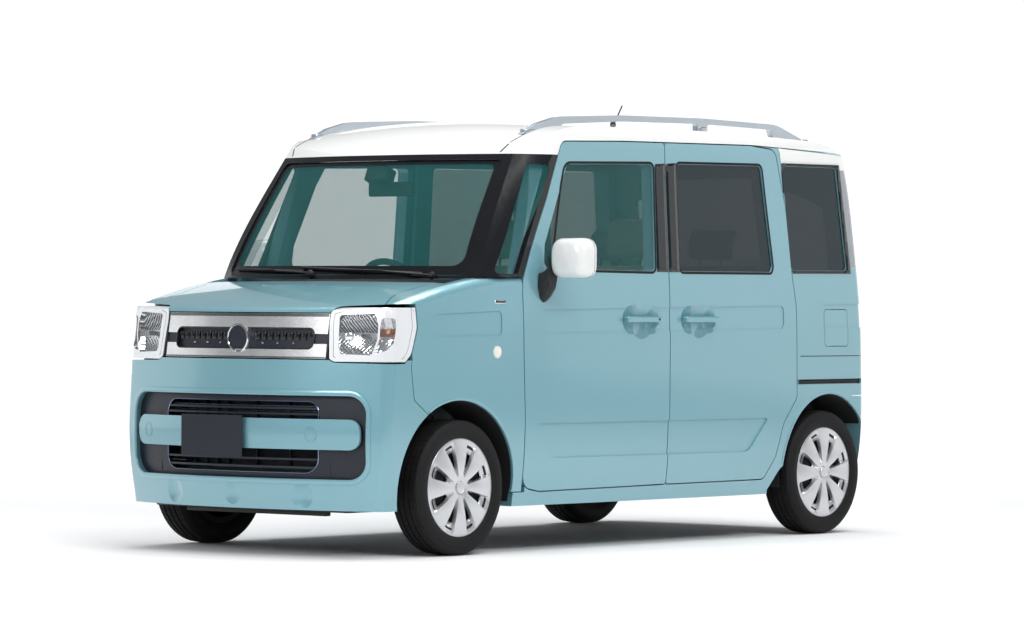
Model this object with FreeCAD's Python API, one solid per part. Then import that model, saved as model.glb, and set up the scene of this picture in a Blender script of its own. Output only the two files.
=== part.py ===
import FreeCAD, Part

import math
import os
from FreeCAD import Vector

# Kei car: a tall box-shaped family car with hinged front doors, sliding rear doors and a
# top-hinged tailgate. Millimetres. +X is forward, +Y is the car's left, +Z is up.
# The origin lies on the ground, in the middle of the car's length and width.

os.makedirs("parts", exist_ok=True)

# ---------------------------------------------------------------- driving dimensions
LENGTH = 3395.0
BODY_BOTTOM = 185.0
FRONT_AXLE_X = 1108.0
REAR_AXLE_X = -1352.0
TRACK = 1295.0
HUB_Z = 270.0

PANEL_GAP = 4.0            # shut line between neighbouring outer panels
DOOR_GAP = 5.0             # running gap round anything that opens
SEAT_GAP = 0.3             # clearance where one piece sits on another
DOOR_WALL = 60.0           # a whole door, outer skin to trim
DOOR_DEPTH = 65.0          # depth of the rebate that a door closes into
SIDE_WALL = 85.0           # a whole body side with its inner flanges
FENDER_WALL = 55.0
FENDER_TOP = 30.0
HOOD_WALL = 22.0
ROOF_WALL = 30.0
BUMPER_WALL = 25.0
GLASS_SET = 6.0            # glass lies this far inside the outer surface
GLASS_THICK = 4.0
FRAME_WALL = 38.0          # windscreen pillars and header

# ---------------------------------------------------------------- outer surface
SIDE_BOW_R = 45000.0       # plan curve of the body sides
SIDE_BOW_X = -100.0        # the widest station
REAR_BOW_R = 9000.0        # plan curve of the tail

# height, nose x, nose plan radius, half width, tail x, nose corner r, tail corner r
BODY_SECTIONS = [
    (BODY_BOTTOM, 1658.0, 1850.0, 706.0, -1674.0, 50.0, 45.0),
    (330.0, 1675.0, 1850.0, 725.0, -1689.0, 50.0, 45.0),
    (520.0, 1681.0, 1850.0, 736.0, -1697.0, 50.0, 45.0),
    (780.0, 1650.0, 2100.0, 737.5, -1693.0, 55.0, 50.0),
    (960.0, 1617.0, 2450.0, 736.0, -1684.0, 55.0, 50.0),
    (1130.0, 1585.0, 2400.0, 728.0, -1672.0, 60.0, 55.0),
    (1330.0, 1550.0, 2200.0, 716.5, -1654.0, 70.0, 60.0),
    (1600.0, 1500.0, 1800.0, 703.0, -1616.0, 90.0, 80.0),
    (1680.0, 1480.0, 1600.0, 698.0, -1592.0, 95.0, 100.0),
    (1716.0, 1470.0, 1500.0, 683.0, -1566.0, 95.0, 120.0),
    (1744.0, 1450.0, 1400.0, 640.0, -1530.0, 95.0, 130.0),
    (1790.0, 1400.0, 1400.0, 500.0, -1450.0, 100.0, 130.0),
]

# height, windscreen centre x, pillar x, pillar half width, door line x, half width there
NOSE_SECTIONS = [
    (1040.0, 1183.0, 1010.0, 692.0, 730.0, 741.0),
    (1330.0, 990.0, 865.0, 668.0, 592.0, 727.0),
    (1600.0, 797.0, 688.0, 626.0, 462.0, 713.0),
    (1800.0, 650.0, 560.0, 596.0, 365.0, 700.0),
]
DOOR_LINE_SHIFT = 0.02     # forward step of the door line for each unit of inset, so that no two faces meet
QUARTER_SAG = 12.0         # bulge of the body between windscreen pillar and door

HOOD_CROWN_R = 12000.0
HOOD_LINE = [(1800.0, 901.0), (1365.0, 1047.0), (930.0, 1128.0)]
HOOD_EDGE_R = 45.0
BELT_Z = 1133.0
ROOF_CROWN_R = 6500.0
ROOF_FRONT = [(800.0, 1600.0), (548.0, 1724.0), (290.0, 1763.0)]
ROOF_TOP = [(290.0, 1763.0), (-450.0, 1771.0), (-1250.0, 1752.0)]
ROOF_TAIL = [(-1250.0, 1752.0), (-1470.0, 1718.0), (-1655.0, 1610.0)]


# ---------------------------------------------------------------- small helpers
def box(x0, x1, y0, y1, z0, z1):
    return Part.makeBox(x1 - x0, y1 - y0, z1 - z0, Vector(x0, y0, z0))


def tube_y(x, z, radius, y0, y1):
    return Part.makeCylinder(radius, y1 - y0, Vector(x, y0, z), Vector(0, 1, 0))


def tube_between(a, b, radius):
    run = Vector(*b) - Vector(*a)
    return Part.makeCylinder(radius, run.Length, Vector(*a), run)


def mirrored(shape):
    return shape.mirror(Vector(0, 0, 0), Vector(0, 1, 0))


def both(shape):
    return Part.makeCompound([shape, mirrored(shape)])


def fuse(shapes):
    joined = shapes[0].fuse(list(shapes[1:]))
    return joined.removeSplitter()


def rounded_outline(corners, place):
    """Closed wire through corners (a, b, radius), set in space by place(a, b)."""
    edges = []
    ends = []
    count = len(corners)
    for i, (a, b, radius) in enumerate(corners):
        before = Vector(corners[i - 1][0] - a, corners[i - 1][1] - b, 0)
        after = Vector(corners[(i + 1) % count][0] - a, corners[(i + 1) % count][1] - b, 0)
        before.normalize()
        after.normalize()
        half = before.getAngle(after) / 2.0
        reach = radius / math.tan(half)
        inward = before + after
        inward.normalize()
        here = Vector(a, b, 0)
        start = here + before * reach
        end = here + after * reach
        middle = here + inward * (radius / math.sin(half) - radius)
        ends.append((start, middle, end, radius))
    for i, (start, middle, end, radius) in enumerate(ends):
        if radius > 0:
            edges.append(Part.Arc(place(start), place(middle), place(end)).toShape())
        following = ends[(i + 1) % count][0]
        if (following - end).Length > 1e-6:
            edges.append(Part.LineSegment(place(end), place(following)).toShape())
    return Part.Wire(edges)


def side_prism(corners, y0, y1):
    """Outline in the side view (x, z, radius), extruded across the car."""
    wire = rounded_outline(corners, lambda p: Vector(p.x, y0, p.y))
    return Part.Face(wire).extrude(Vector(0, y1 - y0, 0))


def front_prism(corners, x0, x1):
    """Outline in the front view (y, z, radius), extruded along the car."""
    wire = rounded_outline(corners, lambda p: Vector(x0, p.x, p.y))
    return Part.Face(wire).extrude(Vector(x1 - x0, 0, 0))


def grown(corners, by):
    """The same outline pushed outwards by a gap; corner radii grow with it."""
    area = 0.0
    count = len(corners)
    for i in range(count):
        a, b = corners[i], corners[(i + 1) % count]
        area += a[0] * b[1] - b[0] * a[1]
    turn = 1.0 if area > 0 else -1.0
    out = []
    for i in range(count):
        p, q, r = corners[i - 1], corners[i], corners[(i + 1) % count]
        u = Vector(q[0] - p[0], q[1] - p[1], 0).normalize()
        v = Vector(r[0] - q[0], r[1] - q[1], 0).normalize()
        n = Vector(u.y, -u.x, 0) * turn
        m = Vector(v.y, -v.x, 0) * turn
        shift = (n + m) * (by / (1.0 + n.dot(m)))
        convex = (u.x * v.y - u.y * v.x) * turn > 0
        radius = q[2] + by if convex else q[2] - by
        out.append((q[0] + shift.x, q[1] + shift.y, max(radius, 0.0) if q[2] > 0 else 0.0))
    return out


def corner_arc(c1, r1, c2, r2, radius, ahead):
    """Arc of the given radius rolled inside two circles: its start, middle and end."""
    d1 = r1 - radius
    d2 = r2 - radius
    dx = c2[0] - c1[0]
    dy = c2[1] - c1[1]
    gap = math.hypot(dx, dy)
    along = (d1 * d1 - d2 * d2 + gap * gap) / (2 * gap)
    across = math.sqrt(d1 * d1 - along * along)
    mx = c1[0] + along * dx / gap
    my = c1[1] + along * dy / gap
    centres = [(mx + s * across * dy / gap, my - s * across * dx / gap) for s in (1, -1)]
    centre = [c for c in centres if c[1] > 0 and (c[0] > 0) == ahead][0]

    def touch(c, r):
        length = math.hypot(centre[0] - c[0], centre[1] - c[1])
        return (c[0] + (centre[0] - c[0]) / length * r, c[1] + (centre[1] - c[1]) / length * r)

    start = touch(c1, r1)
    end = touch(c2, r2)
    out = ((start[0] + end[0]) / 2 - centre[0], (start[1] + end[1]) / 2 - centre[1])
    length = math.hypot(*out)
    middle = (centre[0] + out[0] / length * radius, centre[1] + out[1] / length * radius)
    return start, middle, end


def plan_section(z, nose_x, nose_r, half_width, tail_x, nose_corner, tail_corner, inset):
    """Plan outline of the body at one height, moved inwards by inset."""
    nose_x -= inset
    tail_x += inset
    half_width -= inset
    nose_r -= inset
    side_r = SIDE_BOW_R - inset
    tail_r = REAR_BOW_R - inset
    nose_corner = max(nose_corner - inset, 8.0)
    tail_corner = max(tail_corner - inset, 8.0)
    nose_c = (nose_x - nose_r, 0.0)
    side_c = (SIDE_BOW_X, half_width - side_r)
    tail_c = (tail_x + tail_r, 0.0)
    f1, fm, f2 = corner_arc(nose_c, nose_r, side_c, side_r, nose_corner, True)
    r1, rm, r2 = corner_arc(tail_c, tail_r, side_c, side_r, tail_corner, False)

    def arc(*points):
        return Part.Arc(*[Vector(p[0], p[1], z) for p in points]).toShape()

    def flip(p):
        return (p[0], -p[1])

    return Part.Wire([
        arc(flip(f1), (nose_x, 0.0), f1),
        arc(f1, fm, f2),
        arc(f2, (SIDE_BOW_X, half_width), r2),
        arc(r2, rm, r1),
        arc(r1, (tail_x, 0.0), flip(r1)),
        arc(flip(r1), flip(rm), flip(r2)),
        arc(flip(r2), (SIDE_BOW_X, -half_width), flip(f2)),
        arc(flip(f2), flip(fm), flip(f1)),
    ])


hulls = {}


def hull(inset):
    """The whole body envelope, sides and ends moved inwards by inset; made once for each inset."""
    if inset not in hulls:
        wires = [plan_section(*row, inset) for row in BODY_SECTIONS]
        hulls[inset] = Part.makeLoft(wires, True, False)
    return hulls[inset]


def layer(zone, outer, inner):
    """The part of a zone that lies between two depths under the outer surface."""
    return zone.common(hull(outer)).cut(hull(inner))


def largest(shape):
    return max(shape.Solids, key=lambda solid: solid.Volume)


def pad(x0, x1, y0, y1, z0, z1, near, far):
    """Small stop block between two depths under the outer surface."""
    return layer(box(x0, x1, y0, y1, z0, z1), near, far)


def nose_space(inset):
    """The space ahead of the windscreen and its quarter panels, moved rearwards by inset."""
    wires = []
    for z, centre_x, pillar_x, pillar_y, door_x, door_y in NOSE_SECTIONS:
        centre_x -= inset * 1.2
        pillar_x -= inset * 1.2
        pillar_y -= inset * 0.8
        door_y -= inset
        door_x += inset * DOOR_LINE_SHIFT
        run = Vector(door_x - pillar_x, door_y - pillar_y, 0)
        out = Vector(-run.y, run.x, 0).normalize()
        if out.y < 0:
            out = out * -1.0
        quarter = Vector((door_x + pillar_x) / 2, (door_y + pillar_y) / 2, 0) + out * QUARTER_SAG
        outer_y = 950.0
        front_x = 2600.0
        wires.append(Part.Wire([
            Part.Arc(Vector(pillar_x, -pillar_y, z), Vector(centre_x, 0, z),
                     Vector(pillar_x, pillar_y, z)).toShape(),
            Part.Arc(Vector(pillar_x, pillar_y, z), Vector(quarter.x, quarter.y, z),
                     Vector(door_x, door_y, z)).toShape(),
            Part.LineSegment(Vector(door_x, door_y, z), Vector(door_x, outer_y, z)).toShape(),
            Part.LineSegment(Vector(door_x, outer_y, z), Vector(front_x, outer_y, z)).toShape(),
            Part.LineSegment(Vector(front_x, outer_y, z), Vector(front_x, -outer_y, z)).toShape(),
            Part.LineSegment(Vector(front_x, -outer_y, z), Vector(door_x, -outer_y, z)).toShape(),
            Part.LineSegment(Vector(door_x, -outer_y, z), Vector(door_x, -door_y, z)).toShape(),
            Part.Arc(Vector(door_x, -door_y, z), Vector(quarter.x, -quarter.y, z),
                     Vector(pillar_x, -pillar_y, z)).toShape(),
        ]))
    return Part.makeLoft(wires, True, False)


def crowned_space(edges, crown_r, top_z):
    """A side-view outline swept on a wide circle about a lengthwise axis."""
    face = Part.Face(Part.Wire(edges))
    axis = Vector(0, 0, top_z - crown_r)
    angle = math.degrees(math.asin(900.0 / (crown_r - 1700.0)))
    face.rotate(axis, Vector(1, 0, 0), -angle)
    return face.revolve(axis, Vector(1, 0, 0), 2 * angle)


def side_line(a, b):
    return Part.LineSegment(Vector(a[0], 0, a[1]), Vector(b[0], 0, b[1])).toShape()


def side_arc(points, drop):
    return Part.Arc(*[Vector(p[0], 0, p[1] - drop) for p in points]).toShape()


def below_hood(drop):
    """Everything under the hood surface, lowered by drop; flat at the belt further back."""
    start = (HOOD_LINE[0][0], HOOD_LINE[0][1] - drop)
    end = (HOOD_LINE[2][0], HOOD_LINE[2][1] - drop)
    belt = (700.0, BELT_Z - drop)
    tail = (-1800.0, BELT_Z - drop)
    return crowned_space([
        side_line((start[0], 100.0), start),
        side_arc(HOOD_LINE, drop),
        side_line(end, belt),
        side_line(belt, tail),
        side_line(tail, (tail[0], 100.0)),
        side_line((tail[0], 100.0), (start[0], 100.0)),
    ], HOOD_CROWN_R, BELT_Z)


def below_roof(drop):
    """Everything under the roof surface, lowered by drop."""
    front = (ROOF_FRONT[0][0], ROOF_FRONT[0][1] - drop)
    tail = (ROOF_TAIL[2][0], ROOF_TAIL[2][1] - drop)
    floor_z = 100.0
    return crowned_space([
        side_line((1300.0, floor_z), (1300.0, 1480.0)),
        side_line((1300.0, 1480.0), front),
        side_arc(ROOF_FRONT, drop),
        side_arc(ROOF_TOP, drop),
        side_arc(ROOF_TAIL, drop),
        side_line(tail, (-1800.0, 1480.0)),
        side_line((-1800.0, 1480.0), (-1800.0, floor_z)),
        side_line((-1800.0, floor_z), (1300.0, floor_z)),
    ], ROOF_CROWN_R, 1771.0)


# ---------------------------------------------------------------- inner structure heights
FLOOR_Z0 = 200.0
FLOOR_Z1 = 225.0
FIREWALL_X = 930.0

parts = {}

# ---------------------------------------------------------------- envelopes used by several panels
nose_cut = nose_space(0.0)
low_body = hull(0.0).common(below_hood(0.0)).Solids[0]


def is_hood_rim(edge):
    bound = edge.BoundBox
    beside = min(abs(bound.YMin), abs(bound.YMax)) > 500.0
    high = bound.ZMin > 900.0 and bound.ZMax < BELT_Z - 15.0
    return high and bound.XMax > 1000.0 and (beside or bound.XMin > 1450.0)


low_body = low_body.makeFillet(HOOD_EDGE_R, [e for e in low_body.Edges if is_hood_rim(e)])

# ---------------------------------------------------------------- outlines in the side view
# x, z, corner radius
FRONT_DOOR = [
    (730.0, 1101.0, 0.0), (736.0, 1047.0, 0.0), (731.0, 816.0, 0.0), (719.0, 538.0, 0.0),
    (717.0, 262.0, 60.0), (610.0, 243.0, 60.0), (-217.5, 250.0, 12.0), (-217.5, 1676.0, 14.0),
    (60.0, 1673.0, 0.0), (457.0, 1662.0, 45.0), (492.0, 1586.0, 0.0), (566.0, 1424.0, 0.0),
    (628.0, 1311.0, 0.0), (680.0, 1210.0, 0.0),
]
SLIDE_DOOR = [
    (-222.5, 250.0, 12.0), (-222.5, 1676.0, 14.0), (-829.0, 1682.0, 0.0), (-1010.0, 1668.0, 55.0),
    (-1077.0, 1416.0, 0.0), (-1105.0, 1129.0, 0.0), (-1128.0, 1000.0, 0.0), (-1136.0, 600.0, 30.0),
    (-1038.0, 490.0, 120.0), (-990.0, 345.0, 60.0), (-915.0, 252.0, 40.0),
]
FRONT_WINDOW = [
    (430.0, 1571.0, 20.0), (-135.0, 1585.0, 20.0), (-125.0, 1139.0, 20.0), (600.0, 1145.0, 30.0),
    (590.0, 1240.0, 20.0),
]
SLIDE_WINDOW = [
    (-300.0, 1590.0, 20.0), (-902.0, 1597.0, 25.0), (-962.0, 1166.0, 30.0), (-945.0, 1142.0, 10.0),
    (-300.0, 1140.0, 20.0),
]
QUARTER_WINDOW = [
    (-1062.0, 1601.0, 25.0), (-1474.0, 1603.0, 20.0), (-1532.0, 1152.0, 20.0),
    (-1107.0, 1149.0, 20.0),
]

# ---------------------------------------------------------------- wheel arches
ARCH_FRONT = (1120.0, 276.0, 340.0)
ARCH_REAR = (-1385.0, 280.0, 332.0)
ARCH_INNER_Y = 395.0


def arch_space(arch, inner_y):
    x, z, radius = arch
    return tube_y(x, z, radius, inner_y, 900.0)


front_arch = arch_space(ARCH_FRONT, ARCH_INNER_Y)
REAR_ARCH_END = -1650.0    # the rear arch stops upright ahead of the bumper's corner
rear_arch = arch_space(ARCH_REAR, ARCH_INNER_Y).cut(box(-1900.0, REAR_ARCH_END, 0.0, 900.0, -200.0, 800.0))
rear_arch_foot = side_prism([
    (-955.0, 100.0, 0.0), (-955.0, 205.0, 0.0), (-1030.0, 290.0, 60.0), (-1100.0, 330.0, 0.0),
    (-1100.0, 100.0, 0.0),
], ARCH_INNER_Y, 900.0)

# ---------------------------------------------------------------- hood, fenders, cowl
# x, y, radius in plan; half outlines are mirrored by the loop below
HOOD_PLAN = [(1900.0, 700.0), (1484.0, 643.0), (1415.0, 606.0), (1350.0, 584.0), (1135.0, 596.0)]
HOOD_REAR_X = 1190.0
GRILLE_TOP_Z = 958.0
LAMP_IN_Y = 440.0
LAMP_BOTTOM_Z = 770.0
LAMP_TOP_Z = 990.0
BUMPER_TOP_Z = 776.0


def hood_plan(gap):
    """Plan outline of the hood: straight tapering sides and a bowed rear edge."""
    left = [(x, y + gap) for x, y in HOOD_PLAN]
    left[-1] = (left[-1][0] - gap, left[-1][1])
    rear_x = HOOD_REAR_X - gap
    points = [Vector(x, y, 850.0) for x, y in left]
    edges = [Part.LineSegment(points[i], points[i + 1]).toShape() for i in range(len(points) - 1)]
    flip = [Vector(p.x, -p.y, p.z) for p in points]
    edges.append(Part.Arc(points[-1], Vector(rear_x, 0, 850.0), flip[-1]).toShape())
    edges += [Part.LineSegment(flip[i], flip[i - 1]).toShape() for i in range(len(flip) - 1, 0, -1)]
    edges.append(Part.LineSegment(flip[0], points[0]).toShape())
    return Part.Face(Part.Wire(edges)).extrude(Vector(0, 0, 400.0))


def lamp_space(gap):
    """The space of the left headlamp, grown by a gap."""
    seen_from_front = front_prism(grown([
        (LAMP_IN_Y, LAMP_BOTTOM_Z, 45.0), (900.0, LAMP_BOTTOM_Z - 6.0, 0.0),
        (900.0, LAMP_TOP_Z + 12.0, 0.0), (LAMP_IN_Y, LAMP_TOP_Z - 8.0, 35.0),
    ], gap), 1300.0, 1800.0)
    seen_from_side = side_prism(grown([
        (1800.0, LAMP_BOTTOM_Z - 10.0, 0.0), (1800.0, 1020.0, 0.0), (1385.0, 1020.0, 0.0),
        (1372.0, 905.0, 40.0), (1405.0, 800.0, 60.0), (1450.0, LAMP_BOTTOM_Z - 10.0, 0.0),
    ], gap), 300.0, 900.0)
    return seen_from_front.common(seen_from_side)


lamp_gap_space = lamp_space(PANEL_GAP)
above_grille = box(900.0, 1800.0, -800.0, 800.0, GRILLE_TOP_Z + PANEL_GAP, 1300.0)
hood_zone = hood_plan(0.0).common(above_grille)
hood = hood_zone.common(low_body).cut(hull(HOOD_WALL).common(below_hood(HOOD_WALL)))
hood = largest(hood.cut([lamp_gap_space, mirrored(lamp_gap_space)]))
# hood hinge: an eye on an arm turns on a pin in a pocket of the cowl
HINGE_X = 1125.0
HINGE_Z = 1050.0
HINGE_Y = 540.0
HINGE_ARM = 14.0
HINGE_EYE_R = 11.0
HINGE_PIN_R = 5.0
HINGE_POCKET = 6.0         # free space round the eye
hinge_arm = side_prism([
    (HINGE_X, HINGE_Z - 8.0, 0.0), (HINGE_X + 40.0, HINGE_Z + 2.0, 0.0), (HINGE_X + 60.0, 1065.0, 0.0),
    (HINGE_X + 30.0, 1068.0, 0.0), (HINGE_X, HINGE_Z + 8.0, 0.0),
], HINGE_Y, HINGE_Y + HINGE_ARM).fuse(tube_y(HINGE_X, HINGE_Z, HINGE_EYE_R, HINGE_Y, HINGE_Y + HINGE_ARM))
hinge_arm = hinge_arm.cut(tube_y(HINGE_X, HINGE_Z, HINGE_PIN_R + SEAT_GAP, 0.0, 900.0))
parts["hood"] = fuse([hood, hinge_arm, mirrored(hinge_arm)])
hinge_pocket = box(HINGE_X - HINGE_EYE_R - HINGE_POCKET, HINGE_X + 60.0, HINGE_Y - HINGE_POCKET,
                   HINGE_Y + HINGE_ARM + HINGE_POCKET, HINGE_Z - HINGE_EYE_R - HINGE_POCKET, 1200.0)
hinge_pin = tube_y(HINGE_X, HINGE_Z, HINGE_PIN_R, HINGE_Y - HINGE_POCKET, HINGE_Y + HINGE_ARM + HINGE_POCKET)

fender_space = side_prism([
    (735.0, 1200.0, 0.0), (735.0, 1101.0, 0.0), (741.0, 1047.0, 0.0), (736.0, 816.0, 0.0),
    (724.0, 538.0, 0.0), (722.0, 244.0, 0.0), (1250.0, 244.0, 0.0), (1299.0, 560.0, 0.0),
    (1385.0, 621.0, 25.0), (1403.0, 747.0, 0.0), (1399.0, 775.0, 0.0), (1399.0, 900.0, 0.0),
    (1620.0, 980.0, 0.0), (1620.0, 1200.0, 0.0),
], 300.0, 900.0)

COWL_HALF_WIDTH = 650.0
COWL_GAP = 6.0             # to the hood's rear edge
COWL_DROP = 24.0           # the cowl lies lower than the hood's rear edge
COWL_THICK = 66.0          # its underside, below the hood surface
cowl_zone = box(FIREWALL_X, HOOD_REAR_X + 60.0, -COWL_HALF_WIDTH, COWL_HALF_WIDTH, 900.0, 1300.0)
fender = fender_space.common(low_body).cut(hull(FENDER_WALL).common(below_hood(FENDER_TOP)))
COWL_SHOULDER_X = 1137.0   # the fenders meet the hood's rear corners here
cowl_cut = box(925.0, COWL_SHOULDER_X, 0.0, COWL_HALF_WIDTH + SEAT_GAP, 900.0, 1300.0)
beside_hood = box(COWL_SHOULDER_X - SEAT_GAP, 1400.0, HOOD_PLAN[-1][1] - DOOR_GAP, 900.0, 900.0, 1300.0)
fender = largest(fender.cut([front_arch, hood_plan(DOOR_GAP), lamp_gap_space, cowl_cut]))
cowl = cowl_zone.common(below_hood(COWL_DROP)).cut([below_hood(COWL_THICK), hood_plan(COWL_GAP)])
cowl = largest(cowl.cut([hinge_pocket, mirrored(hinge_pocket), beside_hood, mirrored(beside_hood)]))
parts["cowl"] = fuse([cowl, hinge_pin, mirrored(hinge_pin)])

# ---------------------------------------------------------------- windscreen, pillars, glass
door_space_front = side_prism(grown(FRONT_DOOR, DOOR_GAP), 300.0, 1000.0)
HEADER_Z = 1608.0
pillar_zone = box(300.0, 1300.0, -900.0, 900.0, 1000.0, HEADER_Z)
door_spaces = [door_space_front, mirrored(door_space_front)]
frame_band = pillar_zone.common(nose_space(FRAME_WALL)).cut([nose_cut, below_hood(0.0)] + door_spaces)
# the windscreen opening, seen from the front
SCREEN = [(646.0, 1112.0, 30.0), (592.0, 1585.0, 30.0), (-592.0, 1585.0, 30.0), (-646.0, 1112.0, 30.0)]
# the quarter glass opening, seen from the side
FRONT_QUARTER = [(764.0, 1120.0, 12.0), (908.0, 1120.0, 16.0), (644.0, 1568.0, 12.0),
                 (534.0, 1568.0, 14.0)]
screen_hole = front_prism(SCREEN, 600.0, 1300.0)
quarter_hole = side_prism(FRONT_QUARTER, 400.0, 900.0)
frame_band = frame_band.cut([screen_hole, quarter_hole, mirrored(quarter_hole)])
parts["windscreen_frame"] = largest(frame_band.common(hull(0.0)))
glass_wall = nose_space(GLASS_SET + GLASS_THICK).cut(nose_space(GLASS_SET))
screen = glass_wall.common(front_prism(grown(SCREEN, -SEAT_GAP), 600.0, 1300.0))
quarter = glass_wall.common(side_prism(grown(FRONT_QUARTER, -SEAT_GAP), 400.0, 900.0))
quarter = quarter.common(hull(0.0))
parts["front_glass"] = Part.makeCompound([screen, quarter, mirrored(quarter)])

# ---------------------------------------------------------------- pressings in the side panels
WAIST_DEPTH = 4.0
SILL_DEPTH = 7.0
RAIL_DEPTH = 12.0          # the sliding door's guide channel
DOOR_WAIST = [(620.0, 880.0, 25.0), (620.0, 978.0, 25.0), (-1037.0, 998.0, 25.0), (-1037.0, 897.0, 25.0)]
FENDER_WAIST = [(868.0, 872.0, 20.0), (868.0, 972.0, 20.0), (1270.0, 958.0, 25.0), (1270.0, 868.0, 25.0)]
QUARTER_WAIST = [(-1308.0, 903.0, 25.0), (-1308.0, 1005.0, 25.0), (-1800.0, 1005.0, 0.0),
                 (-1800.0, 903.0, 0.0)]
DOOR_SILL = [(652.0, 517.0, 10.0), (560.0, 375.0, 70.0), (-790.0, 372.0, 70.0), (-930.0, 515.0, 10.0)]
GUIDE_RAIL = [(-1150.0, 655.0, 0.0), (-1150.0, 678.0, 0.0), (-1640.0, 678.0, 8.0), (-1640.0, 655.0, 8.0)]


def pressing(outline, depth):
    """The shallow space to take away for a pressing of a given depth in the left side."""
    return side_prism(outline, 300.0, 900.0).cut(hull(depth))


door_waist = pressing(DOOR_WAIST, WAIST_DEPTH)
door_sill = pressing(DOOR_SILL, SILL_DEPTH)
quarter_waist = pressing(QUARTER_WAIST, WAIST_DEPTH)
parts["fenders"] = both(fender.cut(pressing(FENDER_WAIST, WAIST_DEPTH)))

# ---------------------------------------------------------------- roof
ROOF_SIDE_Z = 1681.0
roof_zone = side_prism([
    (-1800.0, 1660.0, 0.0), (-1080.0, 1681.0, 0.0), (-829.0, 1687.0, 0.0), (-222.0, ROOF_SIDE_Z, 0.0),
    (60.0, 1678.0, 0.0), (460.0, 1667.0, 45.0), (487.0, HEADER_Z + SEAT_GAP, 0.0),
    (1000.0, HEADER_Z + SEAT_GAP, 0.0),
    (1000.0, 1900.0, 0.0), (-1800.0, 1900.0, 0.0),
], -900.0, 900.0)
under_roof = hull(ROOF_WALL).common(below_roof(ROOF_WALL)).cut(nose_space(FRAME_WALL))
TAIL_SPLIT_X = -1545.0
TAILGATE = [(622.0, 604.0, 30.0), (622.0, 1150.0, 0.0), (590.0, 1600.0, 40.0), (560.0, 1760.0, 0.0),
            (-560.0, 1760.0, 0.0), (-590.0, 1600.0, 40.0), (-622.0, 1150.0, 0.0), (-622.0, 604.0, 30.0)]


def tailgate_space(gap):
    return front_prism(grown(TAILGATE, gap), -1800.0, TAIL_SPLIT_X + gap)


roof = roof_zone.common(below_roof(0.0)).cut([nose_cut, tailgate_space(DOOR_GAP)])
parts["roof"] = largest(roof.common(hull(0.0)).cut(under_roof))

# ---------------------------------------------------------------- body sides
LAMP_Z0 = 1166.0
LAMP_Z1 = 1590.0


def tail_lamp_space(gap):
    """The space of the left tail lamp, grown by a gap; its front edge leans forward."""
    return side_prism(grown([
        (-1800.0, LAMP_Z0, 0.0), (-1566.0, LAMP_Z0, 8.0), (-1506.0, LAMP_Z1, 8.0), (-1800.0, LAMP_Z1, 0.0),
    ], gap), 500.0, 900.0)


BUMPER_REAR_TOP = 600.0
TAIL_LAMP_DEPTH = 45.0
side_outline = side_prism([
    (770.0, 100.0, 0.0), (770.0, 240.0, 0.0), (700.0, 240.0, 0.0), (700.0, 1110.0, 0.0),
    (735.0, 1110.0, 0.0), (560.0, 1700.0, 0.0), (-1800.0, 1700.0, 0.0), (-1800.0, 100.0, 0.0),
], 300.0, 900.0)
door_space_slide = side_prism(grown(SLIDE_DOOR, DOOR_GAP), 300.0, 1000.0)
APERTURES = [
    [(745.0, 262.0, 0.0), (-170.0, 272.0, 30.0), (-170.0, 1648.0, 30.0), (395.0, 1634.0, 30.0),
     (545.0, 1424.0, 0.0), (660.0, 1210.0, 0.0), (710.0, 1100.0, 0.0), (745.0, 1100.0, 0.0)],
    [(-270.0, 272.0, 30.0), (-270.0, 1650.0, 30.0), (-990.0, 1650.0, 40.0), (-1050.0, 1416.0, 0.0),
     (-1080.0, 1129.0, 0.0), (-1108.0, 622.0, 30.0), (-1010.0, 500.0, 100.0), (-962.0, 355.0, 60.0),
     (-895.0, 272.0, 30.0)],
]
roof_zone_gap = side_prism([
    (-1800.0, 1657.0, 0.0), (-1080.0, 1677.0, 0.0), (-829.0, 1683.0, 0.0), (-222.0, 1677.0, 0.0),
    (60.0, 1674.0, 0.0), (457.0, 1663.0, 45.0), (484.0, 1604.0, 0.0), (1000.0, 1604.0, 0.0),
    (1000.0, 1900.0, 0.0),
    (-1800.0, 1900.0, 0.0),
], 300.0, 900.0)
under_lining = hull(ROOF_WALL + SEAT_GAP).common(below_roof(ROOF_WALL + SEAT_GAP))
side_cuts = [
    door_space_front.cut(hull(DOOR_DEPTH)), door_space_slide.cut(hull(DOOR_DEPTH)),
    roof_zone_gap.cut(under_lining), rear_arch, rear_arch_foot, tailgate_space(DOOR_GAP),
    side_prism(QUARTER_WINDOW, 300.0, 900.0), tail_lamp_space(SEAT_GAP).cut(hull(TAIL_LAMP_DEPTH)),
    box(-1800.0, -1560.0, 0.0, 900.0, 0.0, BUMPER_REAR_TOP + PANEL_GAP),
    nose_space(FRAME_WALL + SEAT_GAP), quarter_waist, pressing(GUIDE_RAIL, RAIL_DEPTH),
]
HINGE_RELIEF = 8.0         # extra depth where the front door's leading edge swings in
leading_edge = door_space_front.common(box(650.0, 760.0, 300.0, 900.0, 1090.0, 1200.0))
side_cuts.append(leading_edge.cut(hull(DOOR_DEPTH + HINGE_RELIEF)))
side_cuts += [side_prism(aperture, 300.0, 900.0) for aperture in APERTURES]
body_side = largest(layer(side_outline, 0.0, SIDE_WALL).cut(side_cuts))
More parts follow.
